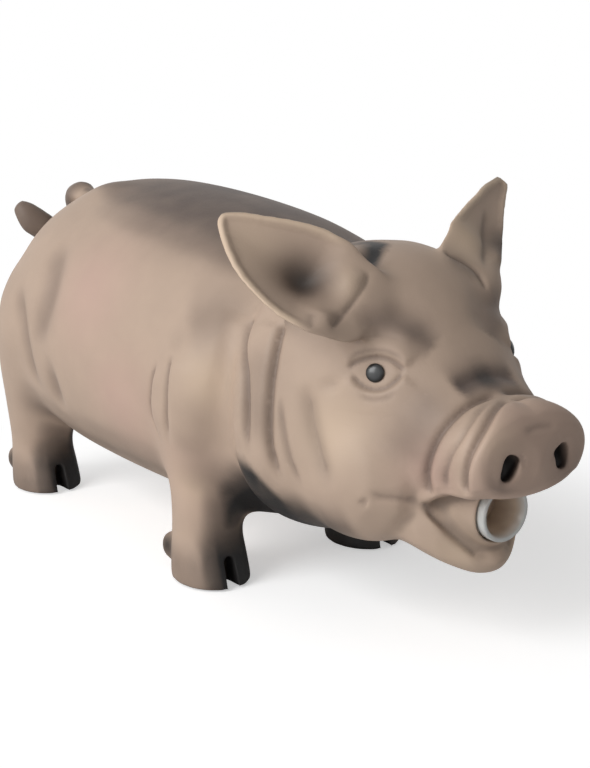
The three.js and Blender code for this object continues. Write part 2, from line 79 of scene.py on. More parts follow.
# %% Camera
IMAGE_WIDTH = 590
IMAGE_HEIGHT = 768
SENSOR_MM = 36
FOCAL_PIXELS = 1554
AZIMUTH = math.radians(54.4)
ELEVATION = math.radians(14.9)
CAMERA_DISTANCE = 0.430
CAMERA_TARGET = Vector((0.01785, 0.0, 0.0519))

camera_back = Vector((
    math.sin(AZIMUTH) * math.cos(ELEVATION),
    -math.cos(AZIMUTH) * math.cos(ELEVATION),
    math.sin(ELEVATION),
))
camera_place = CAMERA_TARGET + camera_back * CAMERA_DISTANCE
camera_turn = camera_back.to_track_quat("Z", "Y")

lens = bpy.data.cameras.new("camera")
lens.sensor_width = SENSOR_MM
lens.lens = FOCAL_PIXELS * SENSOR_MM / IMAGE_HEIGHT
camera = bpy.data.objects.new("camera", lens)
camera.matrix_world = Matrix.Translation(camera_place) @ camera_turn.to_matrix().to_4x4()
bpy.context.scene.collection.objects.link(camera)
bpy.context.scene.camera = camera


def seen_at(pixel, tree):
    """The place, in millimetres, and the normal of the surface that a pixel shows."""
    across = pixel[0] - IMAGE_WIDTH / 2
    down = pixel[1] - IMAGE_HEIGHT / 2
    ray = camera_turn @ Vector((across, -down, -FOCAL_PIXELS)).normalized()
    hit, normal, _, _ = tree.ray_cast(camera_place, ray)
    if hit is None:
        raise ValueError(f"nothing is seen at pixel {pixel}")
    return np.array(hit) / MM, np.array(normal)


print("camera at", [round(value, 4) for value in camera_place])

# %% [markdown]
# ## One skin over the solids
# Trunk, head, jaw, legs, ears and tail are one moulding on the real toy, with a hair's gap between the
# solids that stand for them. Copies of the solids are swollen until the gaps close, joined, and wrapped in
# an even net of small squares by a voxel remesh. The filling goes into the wrap too, so that the net stays
# on the outside and leaves only the pocket of the voice unit. Each ear goes in a few more times, pushed
# down towards the head step by step, so that its root grows out of the head with no gap. Rolls of clay, each
# a row of balls, are laid along the lips first, where the wrap then rounds them off.

# %% Mesh helpers
SAME_POINT = 0.01 * MM


def made(name, mesh):
    """A new object of this mesh, linked to the scene."""
    piece = bpy.data.objects.new(name, mesh)
    bpy.context.scene.collection.objects.link(piece)
    return piece


def applied(piece):
    """Replaces a piece's mesh by what its modifiers make of it."""
    bpy.context.view_layer.update()
    shown = piece.evaluated_get(bpy.context.evaluated_depsgraph_get())
    mesh = bpy.data.meshes.new_from_object(shown)
    piece.modifiers.clear()
    piece.data = mesh
    return mesh


def wrapped(piece, voxel):
    """Replaces a piece's mesh by an even net of squares of this size, wrapped round it."""
    wrap = piece.modifiers.new("wrap", "REMESH")
    wrap.mode = "VOXEL"
    wrap.voxel_size = voxel
    return applied(piece)


def merged_copy(*names):
    """CAD nodes copied into one bmesh, with the loose triangles of each joined up."""
    bm = bmesh.new()
    for name in names:
        bm.from_mesh(nodes[name].data)
    bmesh.ops.remove_doubles(bm, verts=bm.verts, dist=SAME_POINT)
    bm.normal_update()
    return bm


def mesh_of(bm, name):
    """A bmesh's mesh under this name."""
    mesh = bpy.data.meshes.new(name)
    bm.to_mesh(mesh)
    bm.free()
    return mesh


print("loose triangles join up within", SAME_POINT / MM, "mm")

# %% Lip clay
UPPER_LIP_CLAY = [(423, 494), (434, 487), (445, 483), (455, 482), (463, 483.5)]
UPPER_LIP_RADIUS = 2.2
UPPER_LIP_PROUD = 0.4
UPPER_LIP_DROPS = (2.3, 2.3, 2.8, 3.7, 4.2)
LOWER_LIP_CLAY = [(417, 508), (427, 519), (436, 528), (452, 543), (467, 556), (478, 564)]
LOWER_LIP_RADIUS = 2.0
LOWER_LIP_PROUD = 0.7
LOWER_LIP_DROPS = (0,) * len(LOWER_LIP_CLAY)
BALLS_TO_A_RADIUS = 3


def curve(points, step):
    """Points along a Catmull-Rom curve through the given ones, about this far apart."""
    ends = [2 * points[0] - points[1], *points, 2 * points[-1] - points[-2]]
    line = []
    for a, b, c, d in zip(ends, ends[1:], ends[2:], ends[3:]):
        steps = max(2, int(np.linalg.norm(c - b) / step))
        for t in np.arange(steps) / steps:
            bend = (2 * a - 5 * b + 4 * c - d) * t**2 + (3 * b - a - 3 * c + d) * t**3
            line.append(0.5 * (2 * b + (c - a) * t + bend))
    line.append(points[-1])
    return line


def lay_clay(bm, tree, pixels, radius, proud, drops):
    """Lays a row of balls along pixels, on both sides, this proud of the solids and let down by the drops."""
    centres = []
    for pixel, drop in zip(pixels, drops):
        place, normal = seen_at(pixel, tree)
        centres.append(place + normal * (proud - radius) - np.array((0, 0, drop)))
    for centre in curve(centres, radius / BALLS_TO_A_RADIUS):
        for side in (1, -1):
            at = Matrix.Translation(Vector((centre[0], side * centre[1], centre[2])) * MM)
            bmesh.ops.create_icosphere(bm, subdivisions=2, radius=radius * MM, matrix=at)


print("balls of clay on the lips:", UPPER_LIP_RADIUS, "and", LOWER_LIP_RADIUS, "mm in radius")

# %% Wrap the solids
LATEX_NODES = (
    "trunk", "head", "lower_jaw", "right_front_leg", "left_front_leg", "right_rear_leg", "left_rear_leg",
    "right_ear", "left_ear", "tail",
)
SWELL = 0.45 * MM
VOXEL = 0.55 * MM
EAR_LEANS = {
    "right_ear": Vector((-0.55, -0.675, 0.475)).normalized(),
    "left_ear": Vector((-0.55, 0.675, 0.475)).normalized(),
}
EAR_ROOT_STEPS = (1.5 * MM, 3 * MM, 4.5 * MM, 6 * MM, 7.5 * MM)
bm = merged_copy(*LATEX_NODES, "fleece_filling")
for vert in bm.verts:
    vert.co += vert.normal * SWELL
solids = BVHTree.FromBMesh(bm)
lay_clay(bm, solids, UPPER_LIP_CLAY, UPPER_LIP_RADIUS, UPPER_LIP_PROUD, UPPER_LIP_DROPS)
lay_clay(bm, solids, LOWER_LIP_CLAY, LOWER_LIP_RADIUS, LOWER_LIP_PROUD, LOWER_LIP_DROPS)
for name, lean in EAR_LEANS.items():
    for step in EAR_ROOT_STEPS:
        sunk = merged_copy(name)
        for vert in sunk.verts:
            vert.co += vert.normal * SWELL - step * lean
        bm.from_mesh(mesh_of(sunk, "sunk_ear"))
skin = made("skin", mesh_of(bm, "skin"))
clay = wrapped(skin, VOXEL)
print("wrapped net:", len(clay.vertices), "points")

# %% [markdown]
# ## The net as arrays
# A sculptor's tools move thousands of points at once, so the points are held in numpy arrays, in
# millimetres. The toy's two sides are alike, so most work is done on a folded copy of the points, with the
# left side laid over the right one.

# %% Arrays
def net_arrays(mesh):
    """A mesh's points, in millimetres, and the pairs of points that its edges join."""
    points = np.empty(len(mesh.vertices) * 3)
    mesh.vertices.foreach_get("co", points)
    pairs = np.empty(len(mesh.edges) * 2, np.int64)
    mesh.edges.foreach_get("vertices", pairs)
    return points.reshape(-1, 3) / MM, pairs.reshape(-1, 2)


def net_normals(mesh):
    """The normals at a mesh's points."""
    normals = np.empty(len(mesh.vertices) * 3)
    mesh.vertex_normals.foreach_get("vector", normals)
    return normals.reshape(-1, 3)


places, edges = net_arrays(clay)
count = len(places)
neighbours = np.bincount(edges.ravel(), minlength=count)
is_left = places[:, 1] > 0


def normals_now():
    """Writes the present places into the net, and gives its normals there."""
    clay.vertices.foreach_set("co", (places * MM).ravel())
    clay.update()
    return net_normals(clay)


def folded(vectors):
    """A copy with the left side laid over the right one."""
    copy = vectors.copy()
    copy[is_left, 1] *= -1
    return copy


def neighbour_mean(values):
    """Each point's mean over the points it shares an edge with."""
    total = np.empty_like(values)
    for axis in range(values.shape[1]):
        total[:, axis] = np.bincount(edges[:, 0], values[edges[:, 1], axis], count)
        total[:, axis] += np.bincount(edges[:, 1], values[edges[:, 0], axis], count)
    return total / neighbours[:, None]


def soften(share, rounds):
    """Moves each point a share of the way to its neighbours' mean, over and over."""
    for _ in range(rounds):
        places[:] += share[:, None] * (neighbour_mean(places) - places)


def ramp(value, low, high):
    """0 below low, 1 above high, and a smooth rise between."""
    step = np.clip((value - low) / (high - low), 0, 1)
    return step * step * (3 - 2 * step)


def fall(value, low, high):
    """1 below low, 0 above high, and a smooth fall between."""
    return ramp(-value, -high, -low)


def bell(distance, reach):
    """1 at no distance, and a smooth fall that has about a third left at the reach."""
    return np.exp(-((distance / reach) ** 2))


print("points in all:", count, "on the left:", int(is_left.sum()))

# %% [markdown]
# ## An ear's own axes
# An ear leans out of the head, so what lies on it is easiest to tell on its own axes: along the leaf from its
# root, across the leaf on the hinge that the model gives it, and out of the cup.

# %% Ear axes
def ear_axes(name):
    """An ear's root and its own axes: along the leaf, across it on the hinge, and out of the cup."""
    root = np.array(joints["right_ear_flex"]["pos_m"]) / MM
    along = np.array(EAR_LEANS["right_ear"])
    across = np.array(joints["right_ear_flex"]["axis"])
    across = across / np.linalg.norm(across)
    out = np.cross(across, along)
    axes = np.array([root, along, across, out])
    if name == "left_ear":
        axes[:, 1] *= -1
    return axes


def in_ear(name, points):
    """Points measured on an ear's own axes."""
    root, along, across, out = ear_axes(name)
    offset = points - root
    return offset @ along, offset @ across, offset @ out


def within(across, out, half_width, half_depth):
    """Whether points measured on an ear's axes lie within a box round its leaf."""
    return (np.abs(across) < half_width) & (np.abs(out) < half_depth)


print("ear roots:", {name: ear_axes(name)[0].round(1).tolist() for name in EAR_LEANS})

# %% [markdown]
# ## Softening the facets
# The solids are faceted, so each point moves towards the mean of its neighbours again and again. The face,
# the hooves, the ears, the tail, the mouth and the nostrils have edges to keep, and are spared most of it.
# The roots of the ears are softened once more. Where a value is a pair, a ramp runs between its two numbers.

# %% Soften the facets
FACE_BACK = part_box("lower_jaw")[0].x / MM
FACE_START = (FACE_BACK - 6, FACE_BACK + 10)
MOUTH_BACK = (FACE_BACK + 9, FACE_BACK + 14)
MOUTH_BOTTOM = (24, 28)
MOUTH_TOP = (46, 50)
HOOF_TOP = 12
NOSTRIL = np.array((113.4, -8.1, 54))
NOSTRIL_REACH = (5, 8)
TAIL_ROOT = np.array(joints["tail_flex"]["pos_m"]) / MM
TAIL_START = (TAIL_ROOT[0] - 11, TAIL_ROOT[0] - 6)
TAIL_UNDERSIDE = (70, 78)
LEAF_START = (1, 6)
EAR_ROOT_REACH = 3
BLADE_HALF_WIDTH = 24
BLADE_HALF_DEPTH = 14
SOFT_SHARE = 0.8
SOFT_ROUNDS = 100
ROOT_SHARE = 0.7
ROOT_ROUNDS = 30
SPARED = {"face": 0.78, "hooves": 0.92, "ears": 0.9, "tail": 0.9, "mouth": 0.8, "nostrils": 0.65}
x, y, z = folded(places).T
leaf = np.zeros(count)
ear_root = np.zeros(count)
for name in EAR_LEANS:
    along, across, out = in_ear(name, places)
    beside = within(across, out, BLADE_HALF_WIDTH, BLADE_HALF_DEPTH)
    leaf = np.maximum(leaf, ramp(along, *LEAF_START) * beside)
    ear_root = np.maximum(ear_root, bell(along - LEAF_START[0], EAR_ROOT_REACH) * beside)
in_tail = fall(x, *TAIL_START) * ramp(z, *TAIL_UNDERSIDE)
in_mouth = ramp(x, *MOUTH_BACK) * ramp(z, *MOUTH_BOTTOM) * fall(z, *MOUTH_TOP)
from_nostril = np.linalg.norm(folded(places) - NOSTRIL, axis=1)
near_nostril = fall(from_nostril, *NOSTRIL_REACH)
kept_edges = {
    "face": ramp(x, *FACE_START),
    "hooves": fall(z, HOOF_TOP - 4, HOOF_TOP + 6),
    "ears": leaf,
    "tail": in_tail,
    "mouth": in_mouth,
    "nostrils": near_nostril,
}
share = SOFT_SHARE * np.ones(count)
for name, where in kept_edges.items():
    share *= 1 - SPARED[name] * where
soften(share, SOFT_ROUNDS)
soften(ROOT_SHARE * ear_root, ROOT_ROUNDS)
print("softened, height", round(places[:, 2].max(), 1), "mm")

# %% [markdown]
# ## Ear tips, disc and tail root
# Softening shortens thin ends, so the tips of the ears are drawn out again. The snout's disc is evened and
# swollen to a cushion, the root of the tail is flattened towards the rump, and the rims of the soles are
# rounded. The whole skin then goes back in by the swelling it had, and the thin tail less far.

# %% Ear tips, disc and tail root
EAR_TIP_GROWTH = {"right_ear": 1, "left_ear": 2.6}
EAR_TIP_START = 7
EAR_TIP_END = 1
EAR_TIP_ROUNDS = 30
DISC_BACK = (FACE_BACK + 27, FACE_BACK + 35)
DISC_BOTTOM = (42, 47)
DISC_ROUNDS = 110
DISC_SWELL = 0.7
TAIL_ROOT_REACH = 9
TAIL_FLATTEN = 0.55
TAIL_ROOT_ROUNDS = 20
TAIL_SWELL = 0.9
SOLE_RIM = (2, 5)
SOLE_SHARE = 0.6
SOLE_ROUNDS = 14
EVEN_SHARE = 0.5
EVEN_ROUNDS = 5
for name, growth in EAR_TIP_GROWTH.items():
    along, across, out = in_ear(name, places)
    blade = within(across, out, BLADE_HALF_WIDTH, BLADE_HALF_DEPTH)
    tip = along[blade].max()
    at_tip = ramp(along, tip - EAR_TIP_START, tip - EAR_TIP_END) * blade
    places += growth * at_tip[:, None] * ear_axes(name)[1]
    soften(SOFT_SHARE * at_tip, EAR_TIP_ROUNDS)
on_disc = ramp(x, *DISC_BACK) * ramp(z, *DISC_BOTTOM) * (1 - near_nostril)
soften(SOFT_SHARE * on_disc, DISC_ROUNDS)
places += normals_now() * (DISC_SWELL * on_disc)[:, None]
above_root = np.maximum(places[:, 2] - TAIL_ROOT[2], 0)
at_root = bell(np.linalg.norm(places - TAIL_ROOT, axis=1), TAIL_ROOT_REACH)
places[:, 2] -= TAIL_FLATTEN * at_root * above_root
soften(ROOT_SHARE * at_root, TAIL_ROOT_ROUNDS)
soften(SOLE_SHARE * fall(z, *SOLE_RIM), SOLE_ROUNDS)
soften(EVEN_SHARE * np.ones(count), EVEN_ROUNDS)
out_in = TAIL_SWELL * in_tail - SWELL / MM
places += normals_now() * out_in[:, None]
print("tips, disc and tail root worked, height", round(places[:, 2].max(), 1), "mm")

# %% [markdown]
# ## Sculpting tools
# A fold of the moulding is a line on the skin. Its points are given as pixels of the photograph, and a ray
# from the camera through each pixel finds the place on the skin. Points near the line then sink to make a
# groove, or rise beside it to make a roll, and the same line gives the strength of the painted shade that is
# laid in the fold. A thumb press moves a round patch in or out, and a pull drags it across the picture.

# %% Lines on the skin
LINE_STEP = 0.5
LINE_ROUNDS = 4
FACING_ROUNDS = 12
EYE_PIXEL = (375, 374)


def tree_of(mesh):
    """A tree of a mesh's faces, for rays and for the nearest place."""
    corners = [vert.co for vert in mesh.vertices]
    return BVHTree.FromPolygons(corners, [tuple(face.vertices) for face in mesh.polygons])


normals_now()
surface = tree_of(clay)


def on_skin(pixel):
    """The skin's place, in millimetres, seen at a pixel, and its normal."""
    return seen_at(pixel, surface)


def distance_to(node, points):
    """How far points lie from a CAD node's surface, in millimetres."""
    tree = tree_of(nodes[node].data)
    return np.array([tree.find_nearest(Vector(point) * MM)[3] / MM for point in points])


def evened(values, rounds):
    """A row of vectors with each moved towards the mean of the two beside it, the ends kept."""
    for _ in range(rounds):
        values[1:-1] = (values[:-2] + 2 * values[1:-1] + values[2:]) / 4
    return values


def smooth_line(points):
    """A line along the skin through the given points, and its evened normals."""
    line = []
    facing = []
    for point in curve(points, LINE_STEP):
        hit, normal, _, _ = surface.find_nearest(Vector(point) * MM)
        line.append(np.array(hit) / MM)
        facing.append(np.array(normal))
    facing = evened(np.array(facing), FACING_ROUNDS)
    return evened(np.array(line), LINE_ROUNDS), facing / np.linalg.norm(facing, axis=1)[:, None]


def worked(side):
    """The points as a tool meets them: folded for work on both sides, or as they are for one."""
    return folded(places) if side == "both" else places


print("the eye is seen at", [round(value, 1) for value in on_skin(EYE_PIXEL)[0]], "mm")

# %% Strokes
class Stroke:
    """A line on the skin and the points near it: how far along it they lie, and how far across."""

    def __init__(self, pixels, reach, side):
        self.line, self.facing = smooth_line([on_skin(pixel)[0] for pixel in pixels])
        tangents = np.gradient(self.line, axis=0)
        tangents /= np.linalg.norm(tangents, axis=1)[:, None]
        here = worked(side)
        low = self.line.min(0) - reach
        high = self.line.max(0) + reach
        self.near = np.flatnonzero(np.all((here > low) & (here < high), axis=1))
        offsets = here[self.near, None, :] - self.line[None, :, :]
        nearest = np.argmin((offsets**2).sum(2), axis=1)
        offset = offsets[np.arange(len(self.near)), nearest]
        self.normal = self.facing[nearest]
        tangent = tangents[nearest]
        beside = np.cross(self.normal, tangent)
        self.across = (offset * beside).sum(1)
        self.above = (offset * self.normal).sum(1)
        self.past = np.abs((offset * tangent).sum(1))
        self.share = nearest / (len(self.line) - 1)
        self.side = side

    def along(self, ends):
        """1 along the line, with a fall to 0 over these shares of it at its start and its finish."""
        start, finish = ends
        strength = np.ones(len(self.near))
        if start:
            strength *= ramp(self.share, 0, start)
        if finish:
            strength *= ramp(1 - self.share, 0, finish)
        return strength

    def fade(self, depth, ends):
        """As along, and 0 past the line's ends and for skin that lies well above or below the line."""
        level = ramp(depth - np.abs(self.above), 0, depth / 2)
        return self.along(ends) * bell(self.past / LINE_STEP, 3) * level

    def move(self, height):
        """Moves the near points by this much along the line's normal, mirrored on the left side."""
        shift = height[:, None] * self.normal
        if self.side == "both":
            shift[is_left[self.near], 1] *= -1
        places[self.near] += shift


print("a stroke keeps", LINE_STEP, "mm between the points of its line")

# %% Hand tools
CREASE_SHARPNESS = 1.4
GROOVE_LEVEL = 6
ROLL_LEVEL = 8
SPRAY_LEVEL = 12
paint = {name: np.zeros(count) for name in ("crease", "shade", "blush", "black_and_painted_shadow", "pale_and_painted_light")}


def spray(name, strength, near=slice(None)):
    """Adds paint where there is less of it than this, everywhere or on the near points."""
    paint[name][near] = np.maximum(paint[name][near], strength)


# The dark of a groove, a roll or a press is painted shade in its fold, sprayed as the crease coat.
def groove(pixels, depth, width, ends=(0.25, 0.25), dark=0.6, side="both", sharp=CREASE_SHARPNESS):
    """A valley along a line."""
    stroke = Stroke(pixels, 4 * width, side)
    fade = stroke.fade(GROOVE_LEVEL, ends)
    stroke.move(-depth * np.exp(-(np.abs(stroke.across) / width) ** sharp) * fade)
    spray("crease", dark * bell(stroke.across, width) * fade, stroke.near)


def roll(pixels, depth, width, lift, reach, ends=(0.15, 0.15), dark=0.6, side="both"):
    """A crease with a fold of skin that stands up beside it, on the left of its line's direction."""
    stroke = Stroke(pixels, 4 * max(width, abs(reach)), side)
    fade = stroke.fade(ROLL_LEVEL, ends)
    hollow = np.exp(-(np.abs(stroke.across) / width) ** CREASE_SHARPNESS)
    beside = np.clip(stroke.across / reach, 0, None)
    swell = beside * np.exp(1 - beside)
    stroke.move((lift * swell - depth * hollow) * fade)
    spray("crease", dark * bell(stroke.across, width) * fade, stroke.near)


def press(pixel, radius, depth, side="both", dark=0.0, through=3.0):
    """A thumb press: a round patch goes in by this depth, or out where the depth is negative."""
    centre, normal = on_skin(pixel)
    offset = worked(side) - centre
    above = offset @ normal
    around = np.sqrt(np.maximum((offset**2).sum(1) - above**2, 0))
    strength = bell(around, radius) * ramp(through * radius - np.abs(above), 0, radius)
    shift = -depth * strength[:, None] * normal
    if side == "both":
        shift[is_left, 1] *= -1
    places[:] += shift
    if dark:
        spray("crease", dark * strength)


def pull(pixel, radius, right, up):
    """Drags the skin seen at a pixel across the picture by these millimetres, on this side alone."""
    around = np.linalg.norm(places - on_skin(pixel)[0], axis=1)
    way = np.array(camera_turn @ Vector((right, up, 0)))
    places[:] += bell(around, radius)[:, None] * way


def airbrush(name, pixels, width, strength, ends=(0.3, 0.3), side="both"):
    """A soft band of paint along a line."""
    stroke = Stroke(pixels, 3 * width, side)
    spot = np.exp(-((stroke.across / width) ** 2 + (stroke.past / width) ** 2)) * stroke.along(ends)
    spray(name, strength * spot * (np.abs(stroke.above) < SPRAY_LEVEL), stroke.near)


def puff(name, pixel, radius, strength, side="both"):
    """A round puff of paint."""
    around = np.linalg.norm(worked(side) - on_skin(pixel)[0], axis=1)
    spray(name, strength * bell(around, radius))


print("coats of paint:", ", ".join(paint))

# %% [markdown]
# ## Folds of the body
# The neck hangs in long upright folds behind the ear and the jowl, a double crease runs down behind the
# shoulder, and wide soft valleys shape the haunch. The nape, between the ears, is let down a little first.

# %% Neck, shoulder and haunch
NECK_FRONT = [
    (281, 331), (278, 342), (275, 357), (272, 376), (270, 397), (269, 414), (269, 434), (271, 452),
    (284, 484),
]
NECK_BACK = [
    (255, 315), (250, 326), (245, 344), (245, 361), (247, 376), (248, 400), (248, 430), (251, 458),
]
NECK_FINE = [(281, 392), (281, 414), (284, 434), (290, 460), (304, 491)]
JOWL_BACK = [(304, 378), (308, 400), (312, 424), (319, 455), (333, 494)]
SHOULDER_BACK = [(158, 360), (152, 376), (150, 393), (150, 407), (153, 420), (158, 434), (164, 446)]
SHOULDER_FRONT = [
    (173, 351), (169, 363), (167, 374), (166, 386), (166, 401), (166, 416), (167, 432), (168, 447),
]
SHOULDER_TOP = [(184, 322), (177, 340), (171, 358)]
HAUNCH_TOP = [(58, 240), (55, 266), (49, 294), (42, 319), (31, 343)]
HAUNCH_REAR = [(19, 282), (21, 313), (25, 341), (32, 370), (42, 392)]
HAUNCH_FRONT = [(46, 350), (50, 372), (56, 394), (66, 414)]
NAPE = (346, 233)
NAPE_DROP = 1.8
NAPE_REACH = 11
# The pixel shows the nape's left half, so its place is laid over to the right one.
middle = on_skin(NAPE)[0] * (1, -1, 1)
around = np.linalg.norm(folded(places) - middle, axis=1)
places[:, 2] -= NAPE_DROP * bell(around, NAPE_REACH)
roll(NECK_FRONT, depth=1.6, width=1.0, lift=0.9, reach=-3.4, ends=(0, 0.2), dark=0.6)
roll(NECK_BACK, depth=1.7, width=1.1, lift=0.9, reach=-3.8, ends=(0.1, 0.25), dark=0.6)
groove(NECK_FINE, depth=0.9, width=0.9, dark=0.4)
groove(JOWL_BACK, depth=1.4, width=2.6, dark=0.3)
roll(SHOULDER_BACK, depth=1.0, width=0.9, lift=0.5, reach=3, ends=(0.2, 0.35), dark=0.4)
roll(SHOULDER_FRONT, depth=1.1, width=0.9, lift=0.6, reach=3, ends=(0.15, 0.35), dark=0.4)
groove(SHOULDER_TOP, depth=0.7, width=3, ends=(0.5, 0.5), dark=0.1, sharp=2)
groove(HAUNCH_TOP, depth=1.6, width=4.5, dark=0.45, sharp=2)
groove(HAUNCH_REAR, depth=1.3, width=3, dark=0.45, sharp=2)
groove(HAUNCH_FRONT, depth=1.5, width=3.2, ends=(0.5, 0.4), dark=0.5, sharp=2)
print("body folds:", round(float(paint["crease"].max()), 2))

# %% [markdown]
# ## Folds of the face
# Lids frame the eye, three folds ring the snout behind its disc, the nostrils are slanted pits with soft
# shoulders, and the lips meet in a wrinkled corner.

# %% Eyelids
LID_UPPER = [(347, 369), (352, 364), (361, 359.5), (374, 356.5), (388, 358.5), (398, 364), (406, 371)]
LID_CREASE = [(346, 363), (354, 356), (362, 352), (375, 349.5), (390, 352), (400, 358), (407, 365)]
LID_LOWER = [(351, 373), (358, 383), (369, 389.5), (383, 389.5), (394, 383.5), (405, 372)]
EYE_BAG = [(356, 392), (364, 397), (374, 399.5), (387, 397.5), (400, 389)]
BROW_LINE = [(350, 343), (362, 338), (378, 336), (396, 338), (410, 344)]
BROW_VALLEY = [(356, 328), (378, 318), (402, 316), (424, 325), (440, 344)]
CROW_FOOT = [(312, 389), (329, 385), (344, 379)]
roll(LID_UPPER, depth=0.9, width=0.55, lift=1.0, reach=1.4, ends=(0.1, 0.1), dark=0.5)
groove(LID_CREASE, depth=0.6, width=0.55, dark=0.35)
roll(LID_LOWER, depth=0.8, width=0.55, lift=0.8, reach=-1.4, ends=(0.1, 0.1), dark=0.4)
groove(EYE_BAG, depth=0.5, width=0.7, dark=0.25)
groove(BROW_LINE, depth=0.4, width=0.7, dark=0.15)
groove(BROW_VALLEY, depth=0.9, width=4.5, dark=0.3, sharp=2)
groove(CROW_FOOT, depth=0.5, width=1.8, ends=(0.5, 0.4), dark=0.1, sharp=2)
print("eyelids worked")

# %% Snout
SNOUT_FOLD_BACK = [
    (500, 393), (485, 398), (468, 406), (451, 421), (437, 440), (429, 461), (427, 478), (429, 490),
    (434, 496),
]
SNOUT_FOLD_FINE = [
    (498, 400), (485, 408), (473, 423), (462, 440), (452, 457), (447, 474), (446, 486), (448, 494),
]
SNOUT_FOLD_FRONT = [
    (510, 400), (498, 408), (486, 426), (476, 443), (469, 457), (465, 473), (465, 488), (467, 496),
]
BRIDGE = [(456, 392), (466, 383), (478, 377), (490, 374), (501, 376), (509, 383)]
DISC_RIDGE = [(522, 435), (534, 428.5), (546, 425), (558, 425)]
NOSTRIL_SLOT = [(516, 456), (511, 463), (505, 472), (499, 480)]
NOSTRIL_SHADE = [(526, 458), (521, 461), (517, 463)]
roll(SNOUT_FOLD_BACK, depth=1.8, width=1.0, lift=0.9, reach=3, ends=(0.12, 0.05), dark=0.65)
groove(SNOUT_FOLD_FINE, depth=0.9, width=0.7, ends=(0.25, 0.1), dark=0.4)
roll(SNOUT_FOLD_FRONT, depth=1.7, width=1.0, lift=0.6, reach=3, ends=(0.12, 0.05), dark=0.6)
groove(BRIDGE, depth=1.1, width=2.0, ends=(0.2, 0.1), dark=0.6)
groove(DISC_RIDGE, depth=0.5, width=0.7, dark=0.3)
groove(NOSTRIL_SLOT, depth=1.6, width=1.4, ends=(0.2, 0.2), dark=0.2, sharp=2)
groove(NOSTRIL_SHADE, depth=0.5, width=1.6, dark=0.35, sharp=2)
print("face folds worked")

# %% Mouth
MOUTH_CORNER = [(424, 502), (410, 500.5), (398, 498.5), (386, 498), (376, 496), (369, 489)]
CHEEK_DIMPLE = [(360, 499), (363, 503), (368, 505)]
LOWER_LIP = [(422, 502), (431, 513), (438, 520), (455, 536), (470, 549), (481, 557)]
CHIN_SPOT = (481, 555)
CHIN_BUMP = (497, 560)
MOUTH_ROUNDS = 5
FACE_ROUNDS = 2
groove(MOUTH_CORNER, depth=0.8, width=0.7, dark=0.35)
groove(CHEEK_DIMPLE, depth=0.7, width=1.2, dark=0.3)
groove(LOWER_LIP, depth=1.2, width=0.9, ends=(0.05, 0.1), dark=0.65)
press(CHIN_SPOT, radius=1.6, depth=0.6, dark=0.4)
press(CHIN_BUMP, radius=2.4, depth=-0.5)
soften(EVEN_SHARE * in_mouth, MOUTH_ROUNDS)
soften(EVEN_SHARE * np.ones(count), FACE_ROUNDS)
print("mouth worked")

# %% [markdown]
# ## Ears
# The near ear is a cup: a light rim runs round it, the bottom of the cup is pressed deep and painted dark,
# and two small lumps of gristle stand where it joins the head. The far ear is folded along its length. Pulls
# then bring the outline of the far ear, the tail and the rump to where the photograph shows it, and pits that
# the tools left too sharp are softened.

# %% Ears
CUP = (308, 275)
CUP_WIDE = (296, 272)
EAR_LUMP = (347, 281)
LOBE = (322, 321)
NOTCH = (367, 257)
# Sharp pits: pixel, and the radius that is softened.
EAR_PITS = {(322, 302): 2.2, (332, 287): 2.2, (346, 268): 2.2, (372, 256): 5}
EAR_PIT_ROUNDS = 25
# Pulls: pixel, and the radius, the way to the right and the way up, in millimetres.
PULLS = {
    (456, 243): (5, -2.2, -0.4),
    (494, 192): (5, -0.6, 0.6),
    (29, 225): (4, -1, -1.3),
    (78, 184): (7, 1, -1.2),
    (103, 191): (8, 0, 1.6),
}
LOBE_FOLD_REAR = [(313, 312), (311.5, 320), (312, 329)]
LOBE_FOLD_FRONT = [(341, 311), (335, 320), (328, 328)]
EAR_FRONT = [(368, 270), (366, 282), (358, 296), (349, 307), (338, 321), (328, 331)]
FAR_EAR_FOLD = [(490, 205), (487, 225), (485, 248), (484, 270)]
FAR_EAR_ROOT = [(442, 250), (455, 255), (467, 262), (477, 271), (485, 283), (490, 291)]
press(CUP_WIDE, radius=9, depth=1.2, side="one", through=1.5)
press(CUP, radius=5.2, depth=3.4, side="one", through=2.5)
press(EAR_LUMP, radius=3.4, depth=-1.4, side="one", through=1.2)
press(LOBE, radius=3.2, depth=-1.2, side="one", through=1.2)
groove(LOBE_FOLD_REAR, depth=0.5, width=1, dark=0.25, side="one")
groove(LOBE_FOLD_FRONT, depth=0.5, width=1, dark=0.25, side="one")
roll(EAR_FRONT, depth=0.4, width=0.7, lift=0.5, reach=-2.5, ends=(0.1, 0.15), dark=0.1, side="one")
press(NOTCH, radius=3, depth=2, side="one")
for pixel, (radius, right, up) in PULLS.items():
    pull(pixel, radius, right, up)
groove(FAR_EAR_FOLD, depth=0.7, width=1.0, dark=0.5, side="one")
groove(FAR_EAR_ROOT, depth=0.9, width=0.8, ends=(0.1, 0.15), dark=0.45, side="one")
for pixel, radius in EAR_PITS.items():
    around = np.linalg.norm(places - on_skin(pixel)[0], axis=1)
    soften(SOFT_SHARE * bell(around, radius), EAR_PIT_ROUNDS)
soften(EVEN_SHARE * np.ones(count), 1)
print("ears worked")
